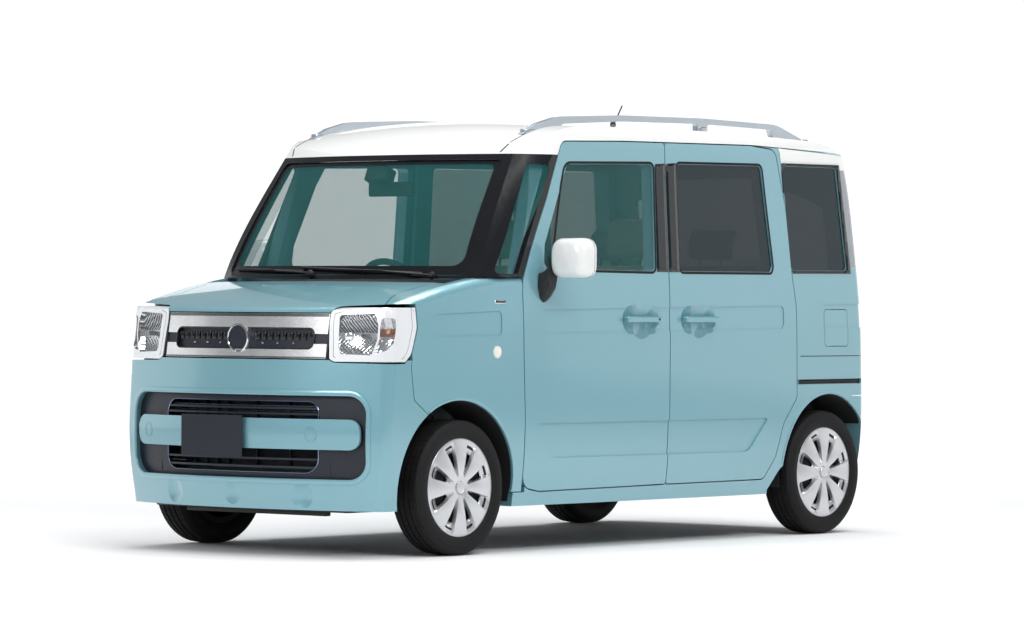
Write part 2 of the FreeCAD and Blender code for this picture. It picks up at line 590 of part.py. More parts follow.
# stops that the closed doors rest against
STOP_NEAR = DOOR_WALL + SEAT_GAP
STOP_FAR = DOOR_DEPTH + 8.0
door_stops = [pad(x0, x0 + 16.0, 300.0, 900.0, z0, z0 + 60.0, STOP_NEAR, STOP_FAR)
              for x0 in (-204.0, -252.0) for z0 in (620.0, 1300.0)]
door_stops.append(pad(-1133.0, -1117.0, 300.0, 900.0, 700.0, 760.0, STOP_NEAR, STOP_FAR))
body_side = fuse([body_side] + door_stops)
FUEL_LID = [(-1350.0, 822.0, 14.0), (-1350.0, 980.0, 14.0), (-1528.0, 980.0, 14.0),
            (-1528.0, 822.0, 14.0)]
FUEL_LID_DEPTH = 14.0
FUEL_POCKET_DEPTH = 45.0
pocket = side_prism(grown(FUEL_LID, 3.0), 300.0, 900.0).cut(hull(FUEL_POCKET_DEPTH))
FUEL_STOP = (-1520.0, -1508.0)
fuel_stop = pad(*FUEL_STOP, 300.0, 900.0, 880.0, 920.0, FUEL_LID_DEPTH + SEAT_GAP, FUEL_POCKET_DEPTH + 2.0)
parts["body_side_left"] = fuse([largest(body_side.cut(pocket)), fuel_stop])
parts["body_side_right"] = mirrored(body_side)
parts["fuel_lid"] = layer(side_prism(FUEL_LID, 300.0, 900.0), 0.0, FUEL_LID_DEPTH).cut(quarter_waist)

# ---------------------------------------------------------------- doors and side glass
HANDLE_Z = 938.0
FRONT_HANDLE_X = -25.0
SLIDE_HANDLE_X = -421.0
HANDLE_SKIN_Y = 736.0      # the doors' outer face beside the handles
CUP_DEPTH = 22.0
CUP_HALF = 79.0            # half width of the cup's middle hollow
CUP_END_HALF = 60.0        # and of the two beside it
CUP_END_OFFSET = 68.0


def cup_hollow(x, half, clearance):
    """One spherical hollow in the left doors' outer face."""
    radius = (half * half + CUP_DEPTH * CUP_DEPTH) / (2 * CUP_DEPTH)
    return Part.makeSphere(radius - clearance, Vector(x, HANDLE_SKIN_Y + radius - CUP_DEPTH, HANDLE_Z))


def handle_cup(x, clearance):
    """The finger cup behind a door handle, made smaller by a clearance."""
    return fuse([cup_hollow(x, CUP_HALF, clearance), cup_hollow(x - CUP_END_OFFSET, CUP_END_HALF, clearance),
                 cup_hollow(x + CUP_END_OFFSET, CUP_END_HALF, clearance)])


front_door = layer(side_prism(FRONT_DOOR, 300.0, 900.0), 0.0, DOOR_WALL)
front_door = largest(front_door.cut([
    side_prism(FRONT_WINDOW, 300.0, 900.0), nose_cut, door_waist, door_sill, handle_cup(FRONT_HANDLE_X, 0.0),
]))
slide_door = layer(side_prism(SLIDE_DOOR, 300.0, 900.0), 0.0, DOOR_WALL)
slide_door = largest(slide_door.cut([
    side_prism(SLIDE_WINDOW, 300.0, 900.0), door_waist, door_sill, handle_cup(SLIDE_HANDLE_X, 0.0),
]))
parts["door_left"] = front_door
parts["door_right"] = mirrored(front_door)
parts["sliding_doors"] = both(slide_door)


def pane(zone):
    return layer(zone, GLASS_SET, GLASS_SET + GLASS_THICK)


def side_glass(outline):
    return pane(side_prism(grown(outline, -SEAT_GAP), 300.0, 900.0))


door_pane = side_glass(FRONT_WINDOW)
parts["door_glass_left"] = door_pane
parts["door_glass_right"] = mirrored(door_pane)
parts["rear_side_glass"] = both(Part.makeCompound([side_glass(SLIDE_WINDOW), side_glass(QUARTER_WINDOW)]))

# ---------------------------------------------------------------- tail
TAILGATE_WALL = 55.0
TAILGATE_TOP_WALL = 25.0
TAIL_WINDOW = [(560.0, 1150.0, 40.0), (530.0, 1570.0, 40.0), (-530.0, 1570.0, 40.0),
               (-560.0, 1150.0, 40.0)]
inside_tail = hull(TAILGATE_WALL).common(below_roof(TAILGATE_TOP_WALL))
tailgate = tailgate_space(0.0).common(below_roof(0.0)).common(hull(0.0)).cut(inside_tail)
parts["tailgate"] = largest(tailgate.cut(front_prism(TAIL_WINDOW, -1800.0, -1500.0)))
parts["tailgate_glass"] = pane(front_prism(grown(TAIL_WINDOW, -SEAT_GAP), -1800.0, -1500.0))
lamp_zone = tail_lamp_space(0.0).cut(tailgate_space(DOOR_GAP))
parts["tail_lamps"] = both(largest(layer(lamp_zone, 0.0, TAIL_LAMP_DEPTH - SEAT_GAP)))
rear_zone = box(-1800.0, -1560.0, -900.0, 900.0, 100.0, BUMPER_REAR_TOP)
bumper_rear = layer(rear_zone, 0.0, BUMPER_WALL)
parts["bumper_rear"] = largest(bumper_rear.cut([rear_arch, mirrored(rear_arch)]))

# ---------------------------------------------------------------- nose: bumper, grilles, lamps
BUMPER_HOLE = [(626.0, 305.0, 80.0), (626.0, 638.0, 80.0), (-626.0, 638.0, 80.0), (-626.0, 305.0, 80.0)]
INNER_FRAME = [(413.0, 330.0, 60.0), (413.0, 612.0, 50.0), (-413.0, 612.0, 50.0), (-413.0, 330.0, 60.0)]
bumper_zone = side_prism([
    (1303.0, 100.0, 0.0), (1303.0, 559.0, 0.0), (1389.0, 619.0, 25.0), (1407.0, 747.0, 0.0),
    (1402.0, BUMPER_TOP_Z, 0.0), (1800.0, BUMPER_TOP_Z, 0.0), (1800.0, 100.0, 0.0),
], -900.0, 900.0)
bumper_front = layer(bumper_zone, 0.0, BUMPER_WALL).cut([
    front_prism(BUMPER_HOLE, 1300.0, 1800.0), front_arch, mirrored(front_arch),
    lamp_gap_space, mirrored(lamp_gap_space),
])
DIMPLE_R = 150.0
DIMPLE_DEPTH = 5.0
DIMPLES = [(1662.0, 0.0), (1625.0, 370.0), (1625.0, -370.0)]
DIMPLE_Z = 226.0
dimples = [Part.makeSphere(DIMPLE_R, Vector(x + DIMPLE_R - DIMPLE_DEPTH, y, DIMPLE_Z)) for x, y in DIMPLES]
parts["bumper_front"] = largest(largest(bumper_front).cut(dimples))

GRILLE_DEPTH = 60.0
behind_bumper = BUMPER_WALL + SEAT_GAP
grille_back = layer(front_prism(grown(BUMPER_HOLE, 15.0), 1400.0, 1800.0), behind_bumper, GRILLE_DEPTH)
# openings of the lower grille, left between slats
SLAT_EDGES = [(588.0, 612.0), (566.0, 580.0), (388.0, 558.0), (356.0, 380.0), (330.0, 348.0)]
grille_gaps = Part.makeCompound([box(1400.0, 1800.0, -420.0, 420.0, z0, z1) for z0, z1 in SLAT_EDGES])
grille_gaps = grille_gaps.common(front_prism(INNER_FRAME, 1400.0, 1800.0))
parts["grille_lower"] = grille_back.cut(grille_gaps.Solids)
BAR = [(598.0, 424.0, 55.0), (598.0, 544.0, 55.0), (-598.0, 544.0, 55.0), (-598.0, 424.0, 55.0)]
parts["bumper_bar"] = layer(front_prism(BAR, 1400.0, 1800.0), 0.0, BUMPER_WALL)

BAND_SET = 8.0
BAND_DEPTH = 40.0
SLOT_DEPTH = 26.0
band_half = LAMP_IN_Y - 8.0
SLOT = [(371.0, 820.0, 24.0), (371.0, 898.0, 24.0), (-371.0, 898.0, 24.0), (-371.0, 820.0, 24.0)]
band_zone = box(1400.0, 1800.0, -band_half, band_half, BUMPER_TOP_Z + 5.0, GRILLE_TOP_Z)
slot_zone = fuse([front_prism(SLOT, 1400.0, 1800.0), box(1400.0, 1800.0, -500.0, 500.0, 838.0, 878.0)])
upper_band = layer(band_zone, BAND_SET, BAND_DEPTH).cut(slot_zone.cut(hull(SLOT_DEPTH)))
BADGE_R = 58.0
BADGE_Z = 859.0
badge = Part.makeCylinder(BADGE_R, 32.0, Vector(1602.0, 0, BADGE_Z), Vector(1, 0, 0))
parts["grille_upper"] = fuse([upper_band, badge])
LAMP_DEPTH = 70.0
lamp = layer(lamp_space(0.0).common(below_hood(6.0)), 0.0, LAMP_DEPTH)
parts["headlamps"] = both(largest(lamp))

PLATE_Y = -85.0
PLATE_Z = 471.0
PLATE_FACE_X = LENGTH / 2
PLATE_THICK = 3.0
plate = box(PLATE_FACE_X - PLATE_THICK, PLATE_FACE_X, PLATE_Y - 165.0, PLATE_Y + 165.0,
            PLATE_Z - 82.5, PLATE_Z + 82.5)
holder = box(1640.0, PLATE_FACE_X - PLATE_THICK, PLATE_Y - 120.0, PLATE_Y + 120.0, 440.0, 502.0)
PLATE_HOLE_SPACING = 210.0
PLATE_HOLE_R = 3.5
PLATE_HOLE_Z = PLATE_Z + 50.0
plate_holes = [Part.makeCylinder(PLATE_HOLE_R, 20.0, Vector(PLATE_FACE_X - 10.0, y, PLATE_HOLE_Z),
                                 Vector(1, 0, 0))
               for y in (PLATE_Y - PLATE_HOLE_SPACING / 2, PLATE_Y + PLATE_HOLE_SPACING / 2)]
parts["plate_front"] = fuse([plate, holder.cut(hull(-SEAT_GAP))]).cut(plate_holes)

# ---------------------------------------------------------------- wheels
TYRE_R = HUB_Z
TYRE_WIDTH = 155.0
BEAD_R = 178.0
FLANGE_R = BEAD_R + 9.0     # the tyre bulges outwards above the rim's flange
RIM_BORE_R = 162.0
COVER_R = 196.0
RIM_LIP = 61.0             # outer face of the rim's lip
COVER_SEAT = RIM_LIP + SEAT_GAP
SPOKES = 8
HUB_FACE = -13.0           # wheel hub's inner face, from the tyre's middle plane, outwards
RIM_DISC = 38.0
CARRIER_R = 48.0
HALF_TRACK = TRACK / 2.0


def turned(outline, x, y, z):
    """Solid of revolution about the wheel axis; outline is (outward offset, radius, corner)."""
    wire = rounded_outline(outline, lambda p: Vector(x, y + p.x, z + p.y))
    return Part.Face(wire).revolve(Vector(x, y, z), Vector(0, 1, 0), 360)


def tyre_at(x, y, z):
    half = TYRE_WIDTH / 2.0
    body = turned([
        (-56.0, BEAD_R, 0.0), (-56.0, FLANGE_R, 0.0), (-63.0, 203.0, 8.0), (-half, 228.0, 20.0),
        (-62.0, TYRE_R - 5.0, 14.0),
        (-52.0, TYRE_R, 0.0), (52.0, TYRE_R, 0.0), (62.0, TYRE_R - 5.0, 14.0), (half, 228.0, 20.0),
        (63.0, 203.0, 8.0), (56.0, FLANGE_R, 0.0), (56.0, BEAD_R, 0.0),
    ], x, y, z)
    for groove in (-27.0, 0.0, 27.0):
        body = body.cut(turned([
            (groove - 4.0, TYRE_R - 7.0, 0.0), (groove - 4.0, TYRE_R + 5.0, 0.0),
            (groove + 4.0, TYRE_R + 5.0, 0.0), (groove + 4.0, TYRE_R - 7.0, 0.0),
        ], x, y, z))
    return body


def rim_at(x, y, z):
    """Steel wheel with its hub and brake disc, one turned piece."""
    wheel = turned([
        (-66.0, RIM_BORE_R, 0.0), (-66.0, BEAD_R + 8.0, 2.0), (-56.3, BEAD_R + 8.0, 2.0),
        (-56.3, BEAD_R - 4.3, 0.0), (-36.0, BEAD_R - 4.3, 0.0), (-26.0, RIM_BORE_R + 6.0, 0.0),
        (20.0, RIM_BORE_R + 6.0, 0.0), (30.0, BEAD_R - 4.3, 0.0), (56.3, BEAD_R - 4.3, 0.0),
        (56.3, BEAD_R + 6.0, 2.0), (RIM_LIP, BEAD_R + 6.0, 2.0), (RIM_LIP, RIM_BORE_R + 4.0, 0.0),
        (46.0, RIM_BORE_R, 0.0), (RIM_DISC, 120.0, 20.0), (RIM_DISC + 10.0, 95.0, 10.0),
        (RIM_DISC, 60.0, 10.0), (RIM_DISC, 0.0, 0.0), (HUB_FACE, 0.0, 0.0), (HUB_FACE, 46.0, 0.0),
        (RIM_DISC - 24.0, 46.0, 0.0), (RIM_DISC - 24.0, 112.0, 0.0), (RIM_DISC - 12.0, 112.0, 0.0),
        (RIM_DISC - 12.0, 66.0, 0.0), (RIM_DISC - 4.0, 66.0, 0.0), (RIM_DISC + 5.0, 96.0, 0.0),
        (RIM_DISC - 5.0, 120.0, 10.0), (RIM_DISC - 4.0, RIM_BORE_R - 8.0, 0.0), (18.0, RIM_BORE_R, 0.0),
    ], x, y, z)
    return wheel


def cover_at(x, y, z):
    """Plastic wheel cover: a domed disc with petal spokes between slots."""
    rim_y = 61.5
    cover = turned([
        (rim_y, 0.0, 0.0), (rim_y + 8.0, 0.0, 0.0), (rim_y + 8.0, 30.0, 2.0), (rim_y + 3.0, 36.0, 2.0),
        (rim_y + 3.0, 50.0, 4.0), (rim_y + 9.0, 66.0, 8.0), (rim_y + 11.0, 150.0, 60.0),
        (rim_y + 5.0, COVER_R - 4.0, 6.0), (rim_y + 2.0, COVER_R, 0.0), (rim_y + 2.0, COVER_R - 6.0, 0.0),
        (COVER_SEAT, COVER_R - 14.0, 0.0), (rim_y + 5.0, 150.0, 50.0), (rim_y + 3.0, 66.0, 8.0),
        (rim_y, 50.0, 0.0),
    ], x, y, z)
    slots = []
    for i in range(SPOKES):
        slot = Part.Face(rounded_outline([
            (70.0, -8.0, 4.0), (132.0, -21.0, 9.0), (140.0, 0.0, 30.0), (132.0, 21.0, 9.0), (70.0, 8.0, 4.0),
        ], lambda p: Vector(x + p.y, y + 40.0, z + p.x))).extrude(Vector(0, 60.0, 0))
        slot.rotate(Vector(x, y, z), Vector(0, 1, 0), (i + 0.5) * 360.0 / SPOKES)
        slots.append(slot)
    return cover.cut(Part.makeCompound(slots))


AXLES = {"front": FRONT_AXLE_X, "rear": REAR_AXLE_X}
tyre = tyre_at(0, 0, HUB_Z)
rim = rim_at(0, 0, HUB_Z)
cover = cover_at(0, 0, HUB_Z)
for axle, axle_x in AXLES.items():
    for name, shape in (("tyre_", tyre), ("wheel_", rim), ("wheel_cover_", cover)):
        placed = shape.copy()
        placed.translate(Vector(axle_x, HALF_TRACK, 0))
        parts[name + axle + "_left"] = placed
        parts[name + axle + "_right"] = mirrored(placed)

# ---------------------------------------------------------------- front suspension and steering
CARRIER_END = HALF_TRACK + HUB_FACE - SEAT_GAP
KINGPIN_LOW = Vector(FRONT_AXLE_X, 600.0, 180.0)
KINGPIN_HIGH = Vector(FRONT_AXLE_X, 540.0, 540.0)
kingpin = (KINGPIN_HIGH - KINGPIN_LOW).normalize()


def on_kingpin(z):
    return KINGPIN_LOW + kingpin * ((z - KINGPIN_LOW.z) / kingpin.z)


def kingpin_bar(z0, z1, radius):
    low = on_kingpin(z0)
    return Part.makeCylinder(radius, (on_kingpin(z1) - low).Length, low, kingpin)


STRUT_TOP_Z = 790.0
SPRING_R = 54.0
STRUT_R = 23.0
upright = Part.Face(rounded_outline([
    (588.0, 200.0, 0.0), (612.0, 200.0, 0.0), (628.0, 235.0, 0.0), (628.0, 305.0, 0.0),
    (592.0, 350.0, 20.0), (572.0, 430.0, 0.0), (540.0, 430.0, 0.0), (556.0, 330.0, 20.0),
    (580.0, 250.0, 0.0),
], lambda p: Vector(FRONT_AXLE_X - 24.0, p.x, p.y))).extrude(Vector(48.0, 0, 0))
carrier = tube_y(FRONT_AXLE_X, HUB_Z, CARRIER_R, 590.0, CARRIER_END)
STEER_ARM_BACK = 110.0
steer_arm = box(FRONT_AXLE_X - STEER_ARM_BACK, FRONT_AXLE_X, 560.0, 584.0, 252.0, 276.0)
knuckle = fuse([upright, carrier, kingpin_bar(196.0, 240.0, 20.0), kingpin_bar(400.0, STRUT_TOP_Z, STRUT_R),
                kingpin_bar(585.0, 770.0, SPRING_R), steer_arm])
parts["knuckle_left"] = knuckle
parts["knuckle_right"] = mirrored(knuckle)

ARM_INNER_Y = 330.0
SUBFRAME_X = 955.0
arm_pad = kingpin_bar(172.0, 196.0 - SEAT_GAP, 24.0)
arm = Part.Face(rounded_outline([
    (FRONT_AXLE_X - 190.0, ARM_INNER_Y - 20.0, 0.0), (FRONT_AXLE_X - 190.0, ARM_INNER_Y + 40.0, 10.0),
    (FRONT_AXLE_X - 26.0, 604.0, 20.0), (FRONT_AXLE_X + 26.0, 604.0, 20.0),
    (FRONT_AXLE_X + 40.0, ARM_INNER_Y + 60.0, 60.0), (FRONT_AXLE_X + 40.0, ARM_INNER_Y - 20.0, 0.0),
], lambda p: Vector(p.x, p.y, 176.0))).extrude(Vector(0, 0, 14.0))
subframe = box(SUBFRAME_X, 1290.0, -ARM_INNER_Y, ARM_INNER_Y, 214.0, 250.0).fuse(
    box(1250.0, 1290.0, -385.0, 385.0, 250.0, 330.0 - SEAT_GAP)).fuse(
    box(SUBFRAME_X, 990.0, -385.0, 385.0, 250.0, 330.0 - SEAT_GAP))
subframe = subframe.cut(box(900.0, 1015.0, 90.0, 150.0, 200.0, 340.0))
arm_post = box(SUBFRAME_X, FRONT_AXLE_X + 35.0, ARM_INNER_Y - 25.0, ARM_INNER_Y, 180.0, 220.0)
subframe_pieces = [subframe, arm, mirrored(arm), arm_pad, mirrored(arm_pad), arm_post, mirrored(arm_post)]
parts["front_subframe"] = fuse(subframe_pieces)
engine = box(1010.0, 1400.0, -310.0, 290.0, 330.0, 800.0).fuse(
    box(1060.0, 1240.0, -310.0, 290.0, 250.0 + SEAT_GAP, 330.0))
parts["engine_block"] = engine.makeFillet(20.0, [e for e in engine.Edges if e.BoundBox.ZMin > 795.0])

# ---------------------------------------------------------------- rear axle, tank, exhaust
REAR_FLOOR_Z = 480.0
BEAM_X = -1190.0
BEAM_Z = 290.0
ARM_PIVOT_X = -905.0
ARM_END_X = ARM_PIVOT_X + 25.0 - SEAT_GAP
stub = tube_y(REAR_AXLE_X, HUB_Z, 42.0, 500.0, CARRIER_END)
trailing = side_prism([
    (REAR_AXLE_X - 45.0, HUB_Z - 40.0, 30.0), (REAR_AXLE_X - 45.0, HUB_Z + 40.0, 30.0),
    (BEAM_X, BEAM_Z + 45.0, 60.0), (ARM_END_X, 320.0, 20.0), (ARM_END_X, 262.0, 20.0),
    (BEAM_X, BEAM_Z - 45.0, 60.0),
], 500.0, 545.0)
spring = Part.makeCylinder(50.0, REAR_FLOOR_Z - SEAT_GAP - 320.0, Vector(BEAM_X - 10.0, 440.0, 320.0))
beam = tube_y(BEAM_X, BEAM_Z, 38.0, -500.0, 500.0)
hanger = box(ARM_PIVOT_X - 30.0, ARM_END_X, 500.0, 545.0, 300.0, REAR_FLOOR_Z - SEAT_GAP)
rear_pieces = [beam]
for piece in (stub, trailing, spring, hanger):
    rear_pieces += [piece, mirrored(piece)]
parts["rear_axle"] = fuse(rear_pieces)
tank = box(-330.0, 330.0, -470.0, 20.0, 152.0, 200.0 - SEAT_GAP)
parts["fuel_tank"] = tank.makeFillet(15.0, [e for e in tank.Edges if e.BoundBox.ZMax < 160.0])
PIPE_R = 21.0
PIPE_ROUTE = [(1010.0 - SEAT_GAP, 120.0, 360.0), (985.0, 120.0, 360.0), (985.0, 120.0, 176.0),
              (-920.0, 120.0, 176.0), (-1020.0, 120.0, 380.0), (-1440.0, 120.0, 380.0)]
pipe = [tube_between(PIPE_ROUTE[i], PIPE_ROUTE[i + 1], PIPE_R) for i in range(len(PIPE_ROUTE) - 1)]
pipe += [Part.makeSphere(PIPE_R, Vector(*p)) for p in PIPE_ROUTE[1:-1]]
muffler = Part.makeCylinder(80.0, 500.0, Vector(-1500.0, -300.0, 380.0), Vector(0, 1, 0))
parts["exhaust"] = fuse(pipe + [muffler])

# ---------------------------------------------------------------- cabin
DASH_HALF_WIDTH = 555.0
dash = side_prism([
    (FIREWALL_X - SEAT_GAP, 1060.0, 0.0), (700.0, 1078.0, 30.0), (560.0, 1050.0, 40.0),
    (520.0, 980.0, 30.0), (600.0, 900.0, 40.0), (640.0, 760.0, 40.0), (FIREWALL_X - SEAT_GAP, 700.0, 0.0),
], -DASH_HALF_WIDTH, DASH_HALF_WIDTH)
WHEEL_CENTRE = Vector(300.0, -335.0, 1020.0)
RAKE = math.radians(28.0)
toward_driver = Vector(-math.cos(RAKE), 0, math.sin(RAKE))
column = Part.makeCylinder(32.0, 330.0, WHEEL_CENTRE - toward_driver * 45.0, toward_driver * -1.0)
parts["dashboard"] = dash.fuse(column).removeSplitter()
STEERING_R = 176.0
ring = Part.makeTorus(STEERING_R, 14.0, WHEEL_CENTRE, toward_driver)
boss = Part.makeCylinder(52.0, 40.0, WHEEL_CENTRE - toward_driver * (45.0 - SEAT_GAP), toward_driver)
across = Vector(0, 1, 0)
down = toward_driver.cross(across)
spokes = []
for direction in (across, across * -1.0, down if down.z < 0 else down * -1.0):
    spokes.append(Part.makeCylinder(11.0, STEERING_R - 4.0, WHEEL_CENTRE - toward_driver * 20.0,
                                    direction + toward_driver * 0.11))
parts["steering_wheel"] = fuse([ring, boss] + spokes)

SEAT_Y = 335.0
SEAT_HALF = 235.0


def soft_box(x0, x1, y0, y1, z0, z1, radius):
    block = box(x0, x1, y0, y1, z0, z1)
    return block.makeFillet(radius, block.Edges)


def lean(shape, x, z, degrees):
    shape.rotate(Vector(x, 0, z), Vector(0, 1, 0), -degrees)
    return shape


front_seat = [
    soft_box(-330.0, 190.0, SEAT_Y - SEAT_HALF, SEAT_Y + SEAT_HALF, 500.0, 630.0, 40.0),
    lean(soft_box(-360.0, -245.0, SEAT_Y - SEAT_HALF + 5.0, SEAT_Y + SEAT_HALF - 5.0, 560.0, 1200.0, 40.0),
         -300.0, 580.0, 14.0),
    lean(soft_box(-350.0, -265.0, SEAT_Y - 125.0, SEAT_Y + 125.0, 1190.0, 1390.0, 35.0), -300.0, 580.0, 14.0),
    box(-260.0, 110.0, SEAT_Y - 190.0, SEAT_Y + 190.0, FLOOR_Z1 + SEAT_GAP, 520.0),
]
seat = fuse(front_seat)
parts["front_seats"] = both(seat)
BENCH_HALF = 560.0
bench = [
    soft_box(-1000.0, -520.0, -BENCH_HALF, BENCH_HALF, 520.0, 650.0, 40.0),
    lean(soft_box(-1010.0, -910.0, -BENCH_HALF, BENCH_HALF, 610.0, 1200.0, 35.0), -960.0, 620.0, 14.0),
    box(-990.0, -880.0, -500.0, 500.0, REAR_FLOOR_Z + 25.0 + SEAT_GAP, 540.0),
    box(-640.0, -590.0, -500.0, 500.0, FLOOR_Z1 + SEAT_GAP, 540.0),
]
for y in (-290.0, 290.0):
    headrest = soft_box(-1000.0, -925.0, y - 120.0, y + 120.0, 1190.0, 1350.0, 30.0)
    bench.append(lean(headrest, -960.0, 620.0, 14.0))
parts["rear_seat"] = fuse(bench)

# ---------------------------------------------------------------- mirrors, handles, rails, antenna
mirror_cap = soft_box(545.0, 635.0, 765.0, 955.0, 1105.0, 1267.0, 32.0)
mirror_foot = box(565.0, 620.0, 700.0, 800.0, 1086.0, 1125.0).cut(hull(-SEAT_GAP))
mirror = mirror_cap.fuse(mirror_foot)
mirror = max(mirror.Solids, key=lambda s: s.Volume)
parts["mirror_left"] = mirror
parts["mirror_right"] = mirrored(mirror)
HANDLE_HALF = 116.0
HANDLE_OUT = 24.0          # outer face of the grip, beyond the door's skin
HANDLE_FOOT = 18.0         # width of the feet that stand in the cup


def handle_at(x):
    """Grip with a foot at each end that stands on the cup's floor."""
    grip = soft_box(x - HANDLE_HALF, x + HANDLE_HALF, HANDLE_SKIN_Y - 2.0, HANDLE_SKIN_Y + HANDLE_OUT,
                    HANDLE_Z - 12.0, HANDLE_Z + 12.0, 8.0)
    near = x - HANDLE_HALF + 4.0
    far = x + HANDLE_HALF - 4.0
    foot_y0 = HANDLE_SKIN_Y - 30.0
    foot_y1 = HANDLE_SKIN_Y + 8.0
    feet = [box(x0, x0 + HANDLE_FOOT, foot_y0, foot_y1, HANDLE_Z - 9.0, HANDLE_Z + 9.0)
            for x0 in (near, far - HANDLE_FOOT)]
    door_skin = hull(-SEAT_GAP).cut(handle_cup(x, SEAT_GAP))
    return largest(fuse([grip] + feet).cut(door_skin))


front_handle = handle_at(FRONT_HANDLE_X)
parts["door_handle_left"] = front_handle
parts["door_handle_right"] = mirrored(front_handle)
parts["slide_handles"] = both(handle_at(SLIDE_HANDLE_X))
RAIL_Y0 = 560.0
RAIL_Y1 = 588.0
rail = side_prism([
    (585.0, 1600.0, 0.0), (575.0, 1694.0, 8.0), (480.0, 1738.0, 60.0), (345.0, 1771.0, 200.0),
    (-75.0, 1790.0, 900.0),
    (-630.0, 1796.0, 900.0), (-1159.0, 1786.0, 300.0), (-1402.0, 1712.0, 8.0), (-1402.0, 1600.0, 0.0),
], RAIL_Y0, RAIL_Y1)
for window in ([(330.0, 1690.0, 0.0), (330.0, 1741.0, 20.0), (-75.0, 1764.0, 0.0), (-596.0, 1771.0, 10.0),
                (-596.0, 1690.0, 0.0)],
               [(-664.0, 1690.0, 0.0), (-664.0, 1771.0, 10.0), (-1120.0, 1763.0, 10.0),
                (-1160.0, 1690.0, 0.0)]):
    rail = rail.cut(side_prism(window, RAIL_Y0 - 10.0, RAIL_Y1 + 10.0))
rail = rail.cut(below_roof(-SEAT_GAP))
rail = max(rail.Solids, key=lambda s: s.Volume)
parts["roof_rails"] = both(rail)
ANTENNA_BASE = (-200.0, 440.0, 1750.0)
mast = tube_between(ANTENNA_BASE, (-262.0, 440.0, 1840.0), 3.0)
boot = Part.makeCone(16.0, 6.0, 30.0, Vector(*ANTENNA_BASE))
parts["antenna"] = mast.fuse(boot).cut(below_roof(-SEAT_GAP)).Solids[0]

# ---------------------------------------------------------------- structure under the panels
floor_edge = SIDE_WALL + SEAT_GAP
KICK_X = -880.0
SHEET = 20.0
TAIL_WALL_X = -1640.0
LINER_GAP = 3.0
LINER_WALL = 9.0
front_floor = box(KICK_X, FIREWALL_X + SHEET, -900.0, 900.0, FLOOR_Z0, FLOOR_Z1)
kick_up = box(KICK_X, KICK_X + SHEET, -900.0, 900.0, FLOOR_Z0, REAR_FLOOR_Z + 25.0)
rear_floor = box(TAIL_WALL_X, KICK_X, -900.0, 900.0, REAR_FLOOR_Z, REAR_FLOOR_Z + 25.0)
firewall = box(FIREWALL_X, FIREWALL_X + SHEET, -900.0, 900.0, FLOOR_Z0, 1060.0)
floor_zone = fuse([front_floor, kick_up, rear_floor, firewall])
wheel_spaces = []
for x, z, radius in (ARCH_FRONT, ARCH_REAR):
    space = tube_y(x, z, radius + LINER_GAP + LINER_WALL / 2, ARCH_INNER_Y - LINER_WALL / 2, 900.0)
    wheel_spaces += [space, mirrored(space)]
floor_sheet = floor_zone.cut(wheel_spaces).common(hull(floor_edge)).common(below_hood(COWL_THICK + SEAT_GAP))


def wheel_liner(arch, outer_y, floor_z):
    """Half-round inner arch with its inboard wall."""
    x, z, radius = arch
    shell = tube_y(x, z, radius + LINER_GAP + LINER_WALL, ARCH_INNER_Y - 10.0, outer_y)
    shell = shell.cut(tube_y(x, z, radius + LINER_GAP, ARCH_INNER_Y, 900.0))
    return shell.cut(box(x - 600.0, x + 600.0, 0.0, 900.0, -300.0, floor_z))


liner_front = wheel_liner(ARCH_FRONT, 640.0, 420.0)
liner_rear = wheel_liner(ARCH_REAR, 614.0, REAR_FLOOR_Z)
liner_rear = liner_rear.cut(box(-1900.0, REAR_ARCH_END + SEAT_GAP, 0.0, 900.0, 0.0, 900.0))
strut_tower = kingpin_bar(600.0, STRUT_TOP_Z + 12.0, 78.0)
SUPPORT_X = 1480.0
hinge_post = box(640.0, 760.0, 560.0, 620.0, FLOOR_Z0, 1060.0).common(hull(floor_edge))
front_rail = box(FIREWALL_X, SUPPORT_X + SHEET, 330.0, ARCH_INNER_Y - LINER_WALL / 2, 330.0, 430.0)
support = box(SUPPORT_X, SUPPORT_X + SHEET, 330.0, 560.0, 300.0, 940.0).common(hull(LAMP_DEPTH + SEAT_GAP))
cross_low = box(SUPPORT_X, SUPPORT_X + SHEET, -340.0, 340.0, 300.0, 345.0)
cross_high = box(SUPPORT_X, SUPPORT_X + SHEET, -340.0, 340.0, 900.0, 940.0)
foot_bumper = box(SUPPORT_X, 1700.0, 430.0, 560.0, 660.0, 750.0).common(hull(BUMPER_WALL + SEAT_GAP))
foot_lamp = box(SUPPORT_X, 1700.0, 450.0, 560.0, 800.0, 900.0).common(hull(LAMP_DEPTH + SEAT_GAP))
foot_grille = box(SUPPORT_X, 1700.0, 330.0, 400.0, 800.0, 900.0).common(hull(BAND_DEPTH + SEAT_GAP))
rear_foot = box(-1700.0, TAIL_WALL_X + SHEET, -540.0, 540.0, 300.0, 420.0)
rear_foot = rear_foot.common(hull(BUMPER_WALL + SEAT_GAP))
rear_wall = box(TAIL_WALL_X, TAIL_WALL_X + 2 * SHEET, -540.0, 540.0, 250.0, REAR_FLOOR_Z + 100.0)
gate_stop = box(-1700.0, TAIL_WALL_X + SHEET, -60.0, 60.0, BUMPER_REAR_TOP - 60.0, BUMPER_REAR_TOP + 60.0)
gate_stop = gate_stop.common(hull(TAILGATE_WALL + SEAT_GAP))
pan_pieces = [floor_sheet, cross_low, cross_high, rear_foot, rear_wall, gate_stop]
for piece in (hinge_post, front_rail, liner_front, liner_rear, strut_tower, support, foot_bumper,
              foot_lamp, foot_grille):
    pan_pieces += [piece, mirrored(piece)]
strut_holes = [kingpin_bar(560.0, STRUT_TOP_Z + SEAT_GAP, 70.0)]
strut_holes.append(mirrored(strut_holes[0]))
